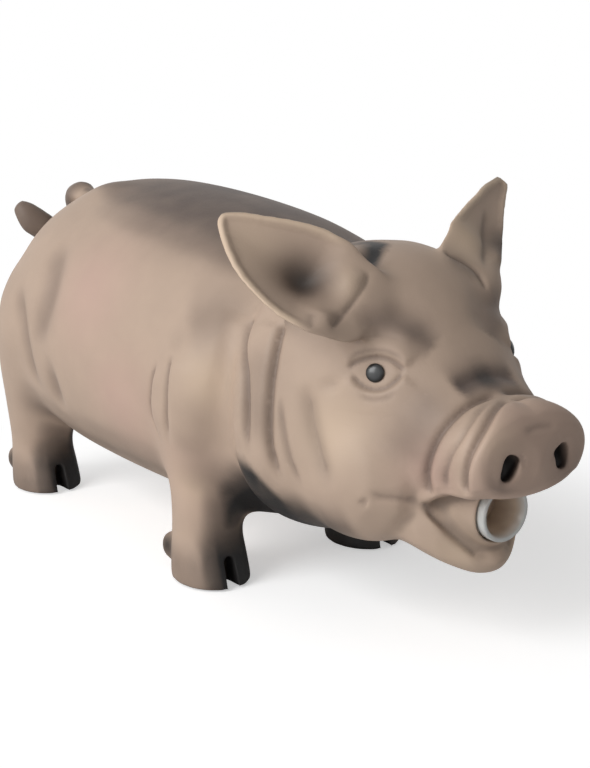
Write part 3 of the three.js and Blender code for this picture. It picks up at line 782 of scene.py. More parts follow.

# %% [markdown]
# ## Rims of the ears
# Each ear has a raised rim round its cup, painted pale, partly as the ear's own pale rim and partly as a
# painted highlight along it. The edge of the leaf is where the skin faces neither into the cup nor away from
# it, so what lies further than the rim's width from the edge sinks, on the cup's side.

# %% Ear rims
RIM_START = 6
RIM_WIDTH = (1, 2.8)
RIM_DEPTH = 0.9
RIM_PALE_HIGHLIGHT = 0.85
RIM_HIGHLIGHT_WIDTH = (0.8, 2.4)
CUP_SIDE = (0.3, 0.6)
LEAF_HALF_WIDTH = 26
LEAF_HALF_DEPTH = 16
LEAF_SKIN = 3
facing = normals_now()
for name in EAR_LEANS:
    along, across, out = in_ear(name, places)
    outward = ear_axes(name)[3]
    toward = facing @ outward
    near = np.flatnonzero((along > RIM_START) & within(across, out, LEAF_HALF_WIDTH, LEAF_HALF_DEPTH))
    near = near[distance_to(name, places[near]) < LEAF_SKIN]
    edge = near[np.abs(toward[near]) < CUP_SIDE[0]]
    tree = KDTree(len(edge))
    for k in edge:
        tree.insert(places[k], k)
    tree.balance()
    from_edge = np.array([tree.find(places[k])[2] for k in near])
    grown = ramp(along[near], RIM_START, RIM_START + 6)
    sink = RIM_DEPTH * ramp(from_edge, *RIM_WIDTH) * ramp(toward[near], *CUP_SIDE) * grown
    places[near] -= sink[:, None] * outward
    # Pale paint on the rim, partly a painted highlight.
    spray("pale_and_painted_light", RIM_PALE_HIGHLIGHT * (1 - ramp(from_edge, *RIM_HIGHLIGHT_WIDTH)) * grown, near)
    print(name, "rim:", len(edge), "edge points")

# %% [markdown]
# ## Airbrush
# The factory dips the moulding in tan latex and sprays it: grey-brown along the back and round the eyes,
# near-black on the hooves, pink on the flanks and cheeks. Painted shade is sprayed with the same coats: grey
# under the belly and inside the legs, near-black under the throat, between leg and jowl and at the nape, and
# dark in every hollow, where a point that lies below a smoothed copy of the skin is in a hollow. Spray goes
# by place and by the direction a surface faces, so each coat is a product of ramps. A value whose name ends
# in
# FACING is a range of how squarely a point faces the way that is sprayed.

# %% Hollows, back and tail
HOLLOW_ROUNDS = 25
HOLLOW_DEPTH = (0.06, 0.4)
HOLLOW_SHADE = 0.5
BACK_DARK = 0.95
BACK_FRONT = (40, 60)
BACK_HEIGHT = (76, 90)
BACK_STEEPEST = 0.66
BACK_FLATTEST = 0.99
RUMP = (-60, 0)
RUMP_REAR = (-80, -30)
RUMP_FLATTER = 0.2
RUMP_PALER = 0.45
TAIL_DARK = 0.75
facing = normals_now()
kept = places.copy()
soften(SOFT_SHARE * np.ones(count), HOLLOW_ROUNDS)
proud = ((kept - places) * facing).sum(1)
places[:] = kept
x, y, z = folded(places).T
nx, ny, nz = folded(facing).T
# Painted shade in every hollow, darker where the hollow is deeper.
spray("crease", HOLLOW_SHADE * ramp(-proud, *HOLLOW_DEPTH) * (1 - leaf))
steepest = BACK_STEEPEST + RUMP_FLATTER * fall(x, *RUMP)
back = ramp(nz, steepest, BACK_FLATTEST) * ramp(z, *BACK_HEIGHT) * fall(x, *BACK_FRONT)
back *= 1 - RUMP_PALER * fall(x, *RUMP_REAR)
spray("shade", BACK_DARK * back)
spray("shade", TAIL_DARK * in_tail)
print("hollows darkened:", int((proud < -HOLLOW_DEPTH[0]).sum()), "points")

# %% Belly, throat and legs
BELLY_SHADE = 0.7
BELLY_HEIGHT = (20, 30)
BELLY_FACING = (0.3, 0.9)
THROAT_SHADOW = 0.85
THROAT_REAR = (4, 18)
THROAT_HEIGHT = (20, 28)
THROAT_FACING = (0.3, 0.75)
KNEE = (28, 42)
LEG_INSIDE_SHADE = 0.95
LEG_INSIDE_FACING = (0.1, 0.7)
LEG_FRONT_PAINT_AND_SHADE = 0.7
LEG_FRONT_FACING = (0.6, 0.98)
# Painted shade under the belly, on the faces that turn down.
under = ramp(-nz, *BELLY_FACING) * ramp(z, *BELLY_HEIGHT) * fall(x, FACE_BACK - 15, FACE_BACK)
spray("shade", BELLY_SHADE * under)
# Near-black painted shadow under the throat.
throat = ramp(-nz, *THROAT_FACING) * ramp(x, *THROAT_REAR) * fall(x, FACE_BACK - 12, FACE_BACK + 4)
spray("black_and_painted_shadow", THROAT_SHADOW * throat * ramp(z, *THROAT_HEIGHT))
# Painted shade inside the legs. The fronts of the legs are darker too, partly paint and partly painted shade
# on the side away from the lamp.
on_leg = fall(z, *KNEE) * fall(x, FACE_BACK - 25, FACE_BACK - 20)
spray("shade", LEG_INSIDE_SHADE * on_leg * ramp(ny, *LEG_INSIDE_FACING))
spray("shade", LEG_FRONT_PAINT_AND_SHADE * on_leg * ramp(nx, *LEG_FRONT_FACING))
print("belly, throat and legs sprayed")

# %% Painted shadow: wedge, chest and nape
WEDGE_BACK = 46
WEDGE_TOP = 47.9
WEDGE_SLOPE = 1.18
WEDGE_EDGE = (-2, 3)
WEDGE_REAR = (35, 46)
WEDGE_FRONT = (53, 63)
WEDGE_BOTTOM = (16, 22)
WEDGE_HIGHEST = (41, 46)
CHEST_REAR = (20, 25)
CHEST_FRONT = (41, 45)
CHEST_BOTTOM = (14, 18)
CHEST_SIDE = (-29, -25.5)
CHEST_TOP = (34, 38)
MIST_SHADOW = 0.85
MIST_SIDE = (-33, -28)
MIST_TOP = (40, 46)
NAPE_SHADOW = 0.97
NAPE_FRONT = 59.5
NAPE_SLOPE = 0.77
NAPE_EDGE = (-1, 2.5)
NAPE_REAR = (47, 54)
NAPE_SIDE = (-15, -12)
NAPE_BOTTOM = 88
NAPE_MIDDLE = (0, 2.5)
# Near-black painted shadow under the jowl, where the wedge runs, on the chest between the front leg and the
# jowl, misted grey at its edge, and behind the near ear at the nape.
wedge_top = WEDGE_TOP - WEDGE_SLOPE * np.maximum(x - WEDGE_BACK, 0)
wedge = ramp(wedge_top - z, *WEDGE_EDGE) * ramp(x, *WEDGE_REAR) * fall(x, *WEDGE_FRONT)
wedge *= ramp(z, *WEDGE_BOTTOM)
spray("black_and_painted_shadow", wedge * fall(z, *WEDGE_HIGHEST))
chest = ramp(x, *CHEST_REAR) * fall(x, *CHEST_FRONT) * ramp(z, *CHEST_BOTTOM)
spray("black_and_painted_shadow", chest * ramp(y, *CHEST_SIDE) * fall(z, *CHEST_TOP))
spray("shade", MIST_SHADOW * chest * ramp(y, *MIST_SIDE) * fall(z, *MIST_TOP))
nape = ramp(NAPE_FRONT - NAPE_SLOPE * y - x, *NAPE_EDGE) * ramp(x, *NAPE_REAR) * ramp(y, *NAPE_SIDE)
nape *= z > NAPE_BOTTOM
spray("black_and_painted_shadow", NAPE_SHADOW * nape * ramp(-places[:, 1], *NAPE_MIDDLE) * (1 - leaf))
print("near-black so far:", int((paint["black_and_painted_shadow"] > 0.5).sum()), "points")

# %% Hooves
HOOF_FRONT_TOP = 20
HOOF_REAR_TOP = 17
TOE_FRONT = 22
TOE_REAR = -78
TOE_SPLIT = -26
TOE_MIST = 0.7
REAR_HALF = -50
HOOF_FRONT_DARK = 0.75
HOOF_FRONT_FACING = (0.5, 0.9)
HOOF_INSIDE_DARK = 0.9
HOOF_INSIDE_FACING = (0.1, 0.6)
HOOF_BACK_DARK = 0.85
HOOF_BACK_FACING = (0.35, 0.85)
DEWCLAWS = ((167, 545), (12, 460))
HOOF_MIST = 0.5
REAR_MIST = 0.65
REAR_MIST_TOP = (4, 8)
REAR_LEGS = (-60, -55)
SOLE_DARK = 0.8
SOLE_FACING = (0.5, 0.9)
SOLE_TOP = (1, 4)
low_front = fall(z, HOOF_FRONT_TOP - 12, HOOF_FRONT_TOP)
low_rear = fall(z, HOOF_REAR_TOP - 7, HOOF_REAR_TOP)
toe = np.maximum(ramp(x, TOE_FRONT - 5, TOE_FRONT), ramp(x, TOE_REAR - 5, TOE_REAR) * (x < REAR_HALF))
spray("black_and_painted_shadow", low_front * toe * ramp(y, TOE_SPLIT - 7, TOE_SPLIT - 3))
spray("shade", TOE_MIST * low_front * toe * ramp(y, TOE_SPLIT - 11, TOE_SPLIT - 5))
spray("black_and_painted_shadow", HOOF_FRONT_DARK * low_front * ramp(nx, *HOOF_FRONT_FACING))
spray("black_and_painted_shadow", HOOF_INSIDE_DARK * low_front * ramp(ny, *HOOF_INSIDE_FACING))
spray("shade", HOOF_BACK_DARK * low_rear * ramp(-nx, *HOOF_BACK_FACING))
for pixel in DEWCLAWS:
    puff("black_and_painted_shadow", pixel, radius=3.4, strength=0.8)
spray("shade", HOOF_MIST * fall(z, HOOF_TOP - 6, HOOF_TOP + 2))
spray("shade", REAR_MIST * fall(z, *REAR_MIST_TOP) * fall(x, *REAR_LEGS))
spray("black_and_painted_shadow", SOLE_DARK * ramp(-nz, *SOLE_FACING) * fall(z, *SOLE_TOP))
print("hooves painted:", int((paint["black_and_painted_shadow"] > 0.5).sum()), "points")

# %% Bands and puffs
BROW_BAND = [(352, 328), (372, 323), (392, 323), (410, 330), (424, 339), (436, 348)]
CHEEK_BAND = [(455, 388), (428, 412), (408, 440), (398, 475)]
BRIDGE_SHADE_BAND = [(452, 391), (464, 384), (478, 379), (492, 377), (506, 381)]
NECK_BAND = [(262, 335), (260, 370), (259, 410), (262, 450)]
FAR_EAR_SHADE = [(442, 253), (457, 260), (471, 270), (483, 284)]
EAR_LUMP_PALE = (347, 284)
FAR_EAR_PAINTED_LIGHT = (468, 236)
FAR_EAR_FRONT_SHADE = (494, 248)
EAR_TIP_PALE = (250, 243)
DISC_SHADE = (562, 462)
DISC_PAINTED_LIGHT = (492, 440)
SHOULDER_BAND = [(182, 325), (212, 316), (238, 332)]
BRIDGE_HOLLOW_SHADOW = [(474, 380), (487, 377), (500, 379), (510, 385)]
DEWLAP = [(320, 520), (340, 527), (360, 530)]
WEB = [(445, 509), (458, 518), (470, 532)]
BLUSH_SPOTS = {(90, 290): 16, (120, 400): 14, (190, 480): 10, (430, 470): 8}
PALE_SPOTS = {(335, 430): 9, (205, 380): 7, (460, 550): 6, (190, 485): 8}
airbrush("shade", BROW_BAND, width=3.6, strength=0.6, ends=(0.4, 0.05))
# Painted light on the far ear's left part, and painted shade on its right part, which faces away from the
# lamp.
puff("pale_and_painted_light", FAR_EAR_PAINTED_LIGHT, radius=8, strength=0.85, side="one")
puff("shade", FAR_EAR_FRONT_SHADE, radius=4, strength=0.4, side="one")
puff("pale_and_painted_light", EAR_TIP_PALE, radius=9, strength=0.35, side="one")
# Painted shadow of the far ear's root on the head.
airbrush("shade", FAR_EAR_SHADE, width=3, strength=0.5, side="one")
puff("pale_and_painted_light", EAR_LUMP_PALE, radius=4, strength=0.5, side="one")
airbrush("shade", CHEEK_BAND, width=6, strength=0.45)
airbrush("shade", SHOULDER_BAND, width=8, strength=0.3)
# Painted shade in the hollow of the bridge, near-black at its deepest.
airbrush("black_and_painted_shadow", BRIDGE_HOLLOW_SHADOW, width=3.5, strength=0.75, ends=(0.3, 0.1))
# Painted shade on the disc's far side and painted light on its near side, as the lamp falls from the left.
puff("shade", DISC_SHADE, radius=8, strength=0.4, side="one")
puff("pale_and_painted_light", DISC_PAINTED_LIGHT, radius=6, strength=0.3, side="one")
# Painted shade along the bridge's hollow.
airbrush("shade", BRIDGE_SHADE_BAND, width=4.5, strength=0.95, ends=(0.2, 0.1))
airbrush("shade", NECK_BAND, width=6, strength=0.3)
airbrush("shade", DEWLAP, width=6, strength=0.6)
airbrush("pale_and_painted_light", WEB, width=4, strength=0.3, ends=(0, 0))
airbrush("shade", WEB, width=4, strength=0.25, ends=(0.5, 0))
for pixel, radius in BLUSH_SPOTS.items():
    puff("blush", pixel, radius, strength=0.4)
for pixel, radius in PALE_SPOTS.items():
    puff("pale_and_painted_light", pixel, radius, strength=0.6)
print("bands and puffs sprayed:", int((paint["shade"] > 0.5).sum()), "shaded points")

# %% Disc, nostrils and ear cups
DISC_FRONT = (FACE_BACK + 30, FACE_BACK + 38)
DISC_BLUSH = 0.2
DISC_GREY = 0.12
DISC_FACING = (0.5, 0.95)
DISC_MIDDLE = 0.9
DISC_FLAT = 0.85
PIT_SHADOW_CORE = 0.97
PIT_DEEP = (1, 3.4)
PIT_SHADE = 0.6
PIT_LIP = (0.2, 1.2)
CUP_DARK_AND_SHADE = 0.75
CUP_FACING = (-0.2, 0.3)
# The two coats in an ear's cup, each with its reach along and across the leaf: paint, and painted shade
# that is near-black where the cup is deepest.
CUP_COATS = {"shade": (8, 6.5), "black_and_painted_shadow": (4.5, 4)}
on_front = ramp(x, *DISC_FRONT)
spray("blush", DISC_BLUSH * on_front)
spray("shade", DISC_GREY * on_front * ramp(nx, *DISC_FACING))
# A plane laid on the front of the disc tells how deep a point lies in a nostril. The nostrils are painted
# darker the deeper they go, as painted shade.
front = np.flatnonzero((on_disc > DISC_MIDDLE) & (nx > DISC_FLAT))
plane = np.linalg.lstsq(np.c_[z[front], np.ones(len(front))], x[front], rcond=None)[0]
pit_depth = plane[0] * z + plane[1] - x
spray("black_and_painted_shadow", PIT_SHADOW_CORE * ramp(pit_depth, *PIT_DEEP) * near_nostril)
spray("shade", PIT_SHADE * ramp(pit_depth, *PIT_LIP) * near_nostril)
cup_at = in_ear("right_ear", on_skin(CUP)[0])
for name in EAR_LEANS:
    along, across, out = in_ear(name, places)
    inside = ramp(facing @ ear_axes(name)[3], *CUP_FACING) * (np.abs(out) < LEAF_HALF_DEPTH)
    for coat, (length, width) in CUP_COATS.items():
        spot = np.exp(-(((along - cup_at[0]) / length) ** 2 + ((across - cup_at[1]) / width) ** 2))
        spray(coat, CUP_DARK_AND_SHADE * spot * inside)
print("nostrils reach", round(float(pit_depth[near_nostril > 0].max()), 1), "mm deep")

# %% [markdown]
# ## Thinning the net
# The even net is far finer than the flanks need. Collapsing the edges that matter least to the shape keeps
# the folds and leaves fewer triangles, and the paint goes along as values on the points.

# %% Thin the net
SKIN_TRIANGLES = 195000
normals_now()
for name, values in paint.items():
    layer = clay.attributes.new(name, "FLOAT", "POINT")
    layer.data.foreach_set("value", values.astype(np.float32))
thin = skin.modifiers.new("thin", "DECIMATE")
thin.ratio = SKIN_TRIANGLES / (2 * len(clay.polygons))
clay = applied(skin)
clay.shade_smooth()
print("thinned to", len(clay.polygons), "triangles")

# %% [markdown]
# ## Ears and tail cut from the skin
# On the real toy the ears and the tail bend at their roots. Each is cut off the skin a few millimetres past
# its root, and both cut ends are capped. The start and the end of a ten-millimetre bend past each cut are
# worked out, but nothing here bends the pieces. The points keep the normals of the uncut skin, so that the
# cut doesn't show.

# %% Cut the skin
SEAM_ALONG = 5
SEAM_CLEARANCE = 1.5
BEND_LENGTH = 10
TAIL_LOW = 68
TAIL_WAY = np.array((-1.0, 0.0, 0.0))
places, edges = net_arrays(clay)
count = len(places)
smooth_normals = net_normals(clay)


def joined_to(seed, inside):
    """The points that are inside and joined to the seed through others that are."""
    member = np.zeros(count, bool)
    member[seed] = True
    links = edges[inside[edges].all(1)]
    size = 0
    while size < member.sum():
        size = member.sum()
        reached = links[member[links].any(1)]
        member[reached.ravel()] = True
    return member


def past_root(direction, root, beside, node):
    """The points of a piece that grows from a root: past the seam and clear of the node it grows from."""
    along = (places - root) @ direction
    inside = (along > SEAM_ALONG) & beside
    spots = np.flatnonzero(inside)
    inside[spots] = distance_to(node, places[spots]) > SEAM_CLEARANCE
    seed = np.flatnonzero(inside)[np.argmax(along[inside])]
    return joined_to(seed, inside)


growths = {}
for name in EAR_LEANS:
    root, along = ear_axes(name)[:2]
    beside = within(*in_ear(name, places)[1:], LEAF_HALF_WIDTH, LEAF_HALF_DEPTH)
    growths[name] = (root, along, past_root(along, root, beside, "head"))
growths["tail"] = (TAIL_ROOT, TAIL_WAY, past_root(TAIL_WAY, TAIL_ROOT, places[:, 2] > TAIL_LOW, "trunk"))
print({name: int(growth[2].sum()) for name, growth in growths.items()})

# %% Cap the cut ends
CAP_INSET = 0.6 * MM
BEND_START = 0.5


def grows_on(face):
    """The name of the growth that all of a face's points belong to."""
    for name, growth in growths.items():
        if all(growth[2][vert.index] for vert in face.verts):
            return name
    return "skin"


def cut_piece(growth, name):
    """The faces of one growth, with the cut ends capped and the uncut skin's normals."""
    bm = bmesh.new()
    bm.from_mesh(clay)
    rest = bm.verts.layers.float_vector.new("rest_normal")
    cap = bm.faces.layers.int.new("cap")
    for vert in bm.verts:
        vert[rest] = smooth_normals[vert.index]
    gone = [face for face in bm.faces if grows_on(face) != growth]
    bmesh.ops.delete(bm, geom=gone, context="FACES")
    ends = [edge for edge in bm.edges if edge.is_boundary]
    lip = bmesh.ops.extrude_edge_only(bm, edges=ends)["geom"]
    for item in lip:
        if isinstance(item, bmesh.types.BMVert):
            item.co -= item[rest] * CAP_INSET
        elif isinstance(item, bmesh.types.BMFace):
            item[cap] = 1
    ends = [edge for edge in bm.edges if edge.is_boundary]
    caps = bmesh.ops.holes_fill(bm, edges=ends, sides=0)["faces"]
    for face in caps:
        face[cap] = 1
    bmesh.ops.triangulate(bm, faces=bm.faces)
    corners = []
    bm.normal_update()
    for face in bm.faces:
        for vert in face.verts:
            corners.append(tuple(face.normal if face[cap] else vert[rest]))
    bm.verts.layers.float_vector.remove(bm.verts.layers.float_vector["rest_normal"])
    bm.faces.layers.int.remove(bm.faces.layers.int["cap"])
    mesh = mesh_of(bm, name)
    mesh.shade_smooth()
    mesh.normals_split_custom_set(corners)
    return mesh


pieces = {}
for name, (root, along, member) in growths.items():
    mesh = cut_piece(name, name + "_skin")
    pieces[name] = made(name + "_skin", mesh)
    crossing = edges[member[edges].any(1) & ~member[edges].all(1)]
    seam = ((places[crossing.ravel()] - root) @ along).max()
    start = Vector(root + along * (seam + BEND_START)) * MM
    end = Vector(root + along * (seam + BEND_START + BEND_LENGTH)) * MM
    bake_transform(pieces[name])
    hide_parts(name)
    print(name, "bends from", round(seam, 1), "mm past its root,", len(mesh.polygons), "triangles")
body_mesh = cut_piece("skin", "skin")
skin.data = body_mesh
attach(skin, "skin")
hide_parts(*(name for name in LATEX_NODES if name not in growths))
pieces["skin"] = skin
print("skin:", len(body_mesh.polygons), "triangles")

# %% [markdown]
# ## Eyes, tube and filling
# An eye is a drop of enamel in a round seat, and the tube is turned: each is a profile spun round its axis.
# The fleece is hidden in the skin, so a soft lumpy copy of the filling's own shape is enough for it.

# %% Eyes and tube
EYES = {"right_eye": 1, "left_eye": -1}
EYE_POINT = Vector((80.15, -21.6, 71.4)) * MM
EYE_FACING = Vector((0.55, -0.8, 0.22)).normalized()
EYE_PROFILE = [
    (0, -0.6), (2.15, -0.6), (2.28, -0.2), (2.2, 0.15), (1.95, 0.42), (1.4, 0.68), (0.75, 0.82), (0, 0.87),
]
VOICE_HEIGHT = 38.8
TUBE_PROFILE = [
    (5, 67.35), (6.8, 67.35), (6.8, 98.9), (6.92, 99.2), (7.2, 99.6), (7.2, 102.9), (7.08, 103.2),
    (6.8, 103.35), (6.35, 103.35), (6.05, 103.1), (5.6, 101.5), (5.15, 99.5), (5, 98.5),
]
SPIN_STEPS = 64


def turned(profile, closed):
    """A body turned round Z from (radius, height) points in millimetres."""
    bm = bmesh.new()
    points = [bm.verts.new((radius * MM, 0, height * MM)) for radius, height in profile]
    pairs = list(zip(points, points[1:]))
    if closed:
        pairs.append((points[-1], points[0]))
    lines = [bm.edges.new(pair) for pair in pairs]
    bmesh.ops.spin(
        bm, geom=points + lines, cent=(0, 0, 0), axis=(0, 0, 1), angle=2 * math.pi, steps=SPIN_STEPS,
        use_merge=True,
    )
    bmesh.ops.remove_doubles(bm, verts=bm.verts, dist=SAME_POINT)
    bmesh.ops.recalc_face_normals(bm, faces=bm.faces)
    return bm


def placed(name, bm, place, axis):
    """A turned body's object, with its axis moved to a place and a direction."""
    turn = axis.to_track_quat("Z", "Y").to_matrix().to_4x4()
    bmesh.ops.transform(bm, matrix=Matrix.Translation(place) @ turn, verts=bm.verts)
    piece = made(name, mesh_of(bm, name))
    piece.data.shade_smooth()
    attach(piece, "skin")
    return piece


def mirrored(vector, side):
    """A vector of the right side, or its mirror image on the left where side is -1."""
    return Vector((vector.x, vector.y * side, vector.z))


for name, side in EYES.items():
    drop = turned(EYE_PROFILE, closed=False)
    pieces[name] = placed(name + "_drop", drop, mirrored(EYE_POINT, side), mirrored(EYE_FACING, side))
    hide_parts(name)
ring = turned(TUBE_PROFILE, closed=True)
tube = placed("clear_tube", ring, Vector((0, 0, VOICE_HEIGHT * MM)), Vector((1, 0, 0)))
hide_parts("voice_tube")
pieces["tube"] = tube
print("eyes and tube:", len(tube.data.polygons), "faces in the tube")

# %% Fleece
FLEECE_VOXEL = 1.6 * MM
FLEECE_ROUNDS = 4
FLEECE_SHRINK = 0.7 * MM
FLEECE_LUMP = 6 * MM
FLEECE_CALM = 6
fleece = made("fleece", mesh_of(merged_copy("fleece_filling"), "fleece"))
mesh = wrapped(fleece, FLEECE_VOXEL)
bm = bmesh.new()
bm.from_mesh(mesh)
for _ in range(FLEECE_ROUNDS):
    bmesh.ops.smooth_vert(bm, verts=bm.verts, factor=0.5, use_axis_x=True, use_axis_y=True, use_axis_z=True)
bm.normal_update()
for vert in bm.verts:
    wave = sum(math.sin(value / FLEECE_LUMP) for value in vert.co)
    vert.co -= vert.normal * FLEECE_SHRINK * (1 + wave / FLEECE_CALM)
fleece.data = mesh_of(bm, "fleece")
fleece.data.shade_smooth()
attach(fleece, "skin")
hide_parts("fleece_filling")
pieces["fleece"] = fleece
print("fleece:", len(fleece.data.polygons), "faces")

# %% [markdown]
# ## Materials
# A material is a small graph of nodes. The class below wraps a node's output, so that sums and products of
# values can be written as such, and one method adds any other node.

# %% Node tools


class Wire:
    """An output of a material's nodes, on which sums and products can be written."""

    def __init__(self, tree, socket):
        self.tree = tree
        self.socket = socket

    @classmethod
    def add(cls, tree, kind, settings, inputs, output=0):
        """Adds a node, makes its settings, feeds its inputs, and wraps one of its outputs."""
        node = tree.nodes.new(kind)
        for key, value in settings.items():
            setattr(node, key, value)
        for key, value in inputs.items():
            cls.feed(tree, node.inputs[key], value)
        return cls(tree, node.outputs[output])

    @staticmethod
    def feed(tree, socket, value):
        """Links a wrapped output to an input, or sets the input to a plain value."""
        if isinstance(value, Wire):
            tree.links.new(value.socket, socket)
        else:
            socket.default_value = value

    def math(self, operation, first, second):
        """A Math node on two values or wires."""
        return Wire.add(self.tree, "ShaderNodeMath", {"operation": operation}, {0: first, 1: second})

    def __add__(self, other):
        return self.math("ADD", self, other)

    def __radd__(self, other):
        return self.math("ADD", other, self)

    def __mul__(self, other):
        return self.math("MULTIPLY", self, other)

    def __rmul__(self, other):
        return self.math("MULTIPLY", other, self)


def material(name, **constants):
    """A new material with its shader's constants set, and its tree and shader."""
    made_material = bpy.data.materials.new(name)
    made_material.use_nodes = True
    tree = made_material.node_tree
    shader = tree.nodes["Principled BSDF"]
    for key, value in constants.items():
        shader.inputs[key.replace("_", " ")].default_value = value
    return made_material, tree, shader


def mixed(tree, factor, first, second):
    """A colour between two others."""
    settings = {"data_type": "RGBA"}
    return Wire.add(tree, "ShaderNodeMix", settings, {"Factor": factor, "A": first, "B": second}, "Result")


def place_on(tree):
    """A point's place on the object's own coordinates."""
    return Wire.add(tree, "ShaderNodeTexCoord", {}, {}, "Object")


def noise(tree, scale, detail):
    """Noise round 0.5 on the object's own coordinates, with this many waves to the metre."""
    inputs = {"Vector": place_on(tree), "Scale": scale, "Detail": detail}
    return Wire.add(tree, "ShaderNodeTexNoise", {}, inputs, "Fac")


def vector_math(tree, operation, inputs, output):
    """A Vector Math node on these vectors."""
    return Wire.add(tree, "ShaderNodeVectorMath", {"operation": operation}, dict(enumerate(inputs)), output)


def spread(tree, value, low, high, rise="LINEAR"):
    """0 where a value is below low, 1 where it is above high, and a rise between."""
    limits = {"Value": value, "From Min": low, "From Max": high}
    return Wire.add(tree, "ShaderNodeMapRange", {"interpolation_type": rise}, limits, "Result")


def dress(piece, surface):
    """Gives a piece its material."""
    piece.data.materials.clear()
    piece.data.materials.append(surface)


print("node tools ready")

# %% [markdown]
# ## Painted latex
# The coats lie over each other in the order they are sprayed: pink on tan, pale paint with painted light,
# grey-brown paint with painted shade, the painted shade of the folds and hollows, and last the black of the
# hooves with the near-black painted shadows. Wide noise makes the spray uneven, and fine noise gives the
# matte grain.

# %% Latex
TAN = (0.47, 0.352, 0.272, 1)
# The grey-brown coat is paint and also painted shade, the crease coat is painted shade in folds and hollows,
# the pale coat is paint and also painted light, and the black coat is hoof paint and also near-black painted
# shadow.
COATS = {
    "blush": (0.515, 0.328, 0.283, 1),
    "pale_and_painted_light": (0.61, 0.468, 0.345, 1),
    "shade": (0.088, 0.064, 0.053, 1),
    "crease": (0.105, 0.078, 0.066, 1),
    "black_and_painted_shadow": (0.010, 0.009, 0.009, 1),
}
MOTTLE_SCALE = 90
MOTTLE = 0.22
COAT_LEAST = 0.8
COAT_WANDER = 0.4
GRAIN_SCALE = 1900
GRAIN_STRENGTH = 0.25
GRAIN_HEIGHT = 0.08 * MM
LATEX_ROUGHNESS = 0.5
GRAIN_ROUGHNESS = 0.16
latex, tree, shader = material("painted latex", Specular_IOR_Level=0.35)
mottle = noise(tree, MOTTLE_SCALE, 4)
colour = mixed(tree, mottle * MOTTLE, TAN, COATS["shade"])
for name, coat in COATS.items():
    sprayed = Wire.add(tree, "ShaderNodeAttribute", {"attribute_name": name}, {}, "Fac")
    colour = mixed(tree, sprayed * (COAT_LEAST + COAT_WANDER * mottle), colour, coat)
grain = noise(tree, GRAIN_SCALE, 2)
relief = {"Strength": GRAIN_STRENGTH, "Distance": GRAIN_HEIGHT, "Height": grain}
bump = Wire.add(tree, "ShaderNodeBump", {}, relief, "Normal")
Wire.feed(tree, shader.inputs["Base Color"], colour)
Wire.feed(tree, shader.inputs["Roughness"], LATEX_ROUGHNESS + GRAIN_ROUGHNESS * grain)
Wire.feed(tree, shader.inputs["Normal"], bump)
for name in ("skin", *growths):
    dress(pieces[name], latex)
print("latex:", len(tree.nodes), "nodes")

# %% [markdown]
# ## The small materials
# The eye is a glossy black drop with a painted highlight: grey in the middle and black at the rim, by how far
# a point lies from its top. The tube is milky clear plastic, and its bore is painted a bright tan, painted
# light for the latex that shines through it. The pieces of the voice unit and the fleece are plain stuffs
# whose colour wanders between two tones.

# %% Eye enamel
# The grey middle is a painted highlight on the black drop.
HIGHLIGHT_GREY = (0.045, 0.047, 0.048, 1)
BLACK = (0.006, 0.006, 0.006, 1)
EYE_HEIGHT = EYE_PROFILE[-1][1]
EYE_RIM = (1.3 * MM, 1.95 * MM)
for name, side in EYES.items():
    enamel, tree, shader = material(name + " enamel", Roughness=0.3, Coat_Weight=0.1)
    top = mirrored(EYE_POINT + EYE_FACING * EYE_HEIGHT * MM, side)
    apart = vector_math(tree, "DISTANCE", (place_on(tree), top), "Value")
    Wire.feed(tree, shader.inputs["Base Color"], mixed(tree, spread(tree, apart, *EYE_RIM), HIGHLIGHT_GREY, BLACK))
    dress(pieces[name], enamel)
print("enamel on", len(EYES), "eyes")

# %% Tube plastic
MILKY = (0.86, 0.88, 0.87, 1)
# The bore is painted a bright tan, painted light for the latex seen through the clear wall.
BORE_SHINE_TAN = (0.95, 0.76, 0.60, 1)
TUBE_WALL = (5.4 * MM, 6.2 * MM)
TUBE_ROUGHNESS = 0.12
HAZE_SCALE = 260
HAZE_ROUGHNESS = 0.14
clear, tree, shader = material("milky clear plastic", IOR=1.45, Transmission_Weight=0.45)
haze = noise(tree, HAZE_SCALE, 2)
shift = vector_math(tree, "SUBTRACT", (place_on(tree), (0, 0, VOICE_HEIGHT * MM)), "Vector")
flat = vector_math(tree, "MULTIPLY", (shift, (0, 1, 1)), "Vector")
radius = vector_math(tree, "LENGTH", (flat,), "Value")
outer = spread(tree, radius, *TUBE_WALL)
Wire.feed(tree, shader.inputs["Base Color"], mixed(tree, outer, BORE_SHINE_TAN, MILKY))
Wire.feed(tree, shader.inputs["Roughness"], TUBE_ROUGHNESS + HAZE_ROUGHNESS * haze)
dress(tube, clear)
print("tube plastic:", len(tree.nodes), "nodes")

# %% Inner pieces
MOULDING_TANS = ((0.36, 0.27, 0.20, 1), (0.42, 0.32, 0.24, 1))
REED_AMBERS = ((0.55, 0.50, 0.36, 1), (0.62, 0.57, 0.42, 1))
FLEECE_WHITES = ((0.70, 0.69, 0.66, 1), (0.86, 0.85, 0.82, 1))


def two_toned(name, roughness, scale, detail, tones):
    """A material whose colour wanders between two tones."""
    surface, tree, shader = material(name, Roughness=roughness)
    Wire.feed(tree, shader.inputs["Base Color"], mixed(tree, noise(tree, scale, detail), *tones))
    return surface


moulded = two_toned("tan moulding", roughness=0.5, scale=500, detail=2, tones=MOULDING_TANS)
for name in ("tone_board", "reed_wedge", "strainer_cap"):
    dress(nodes[name], moulded)
film = two_toned("reed film", roughness=0.35, scale=700, detail=1, tones=REED_AMBERS)
dress(nodes["reed"], film)
wool = two_toned("polyester fleece", roughness=0.95, scale=900, detail=4, tones=FLEECE_WHITES)
dress(fleece, wool)
print("materials:", len(bpy.data.materials), "in all")

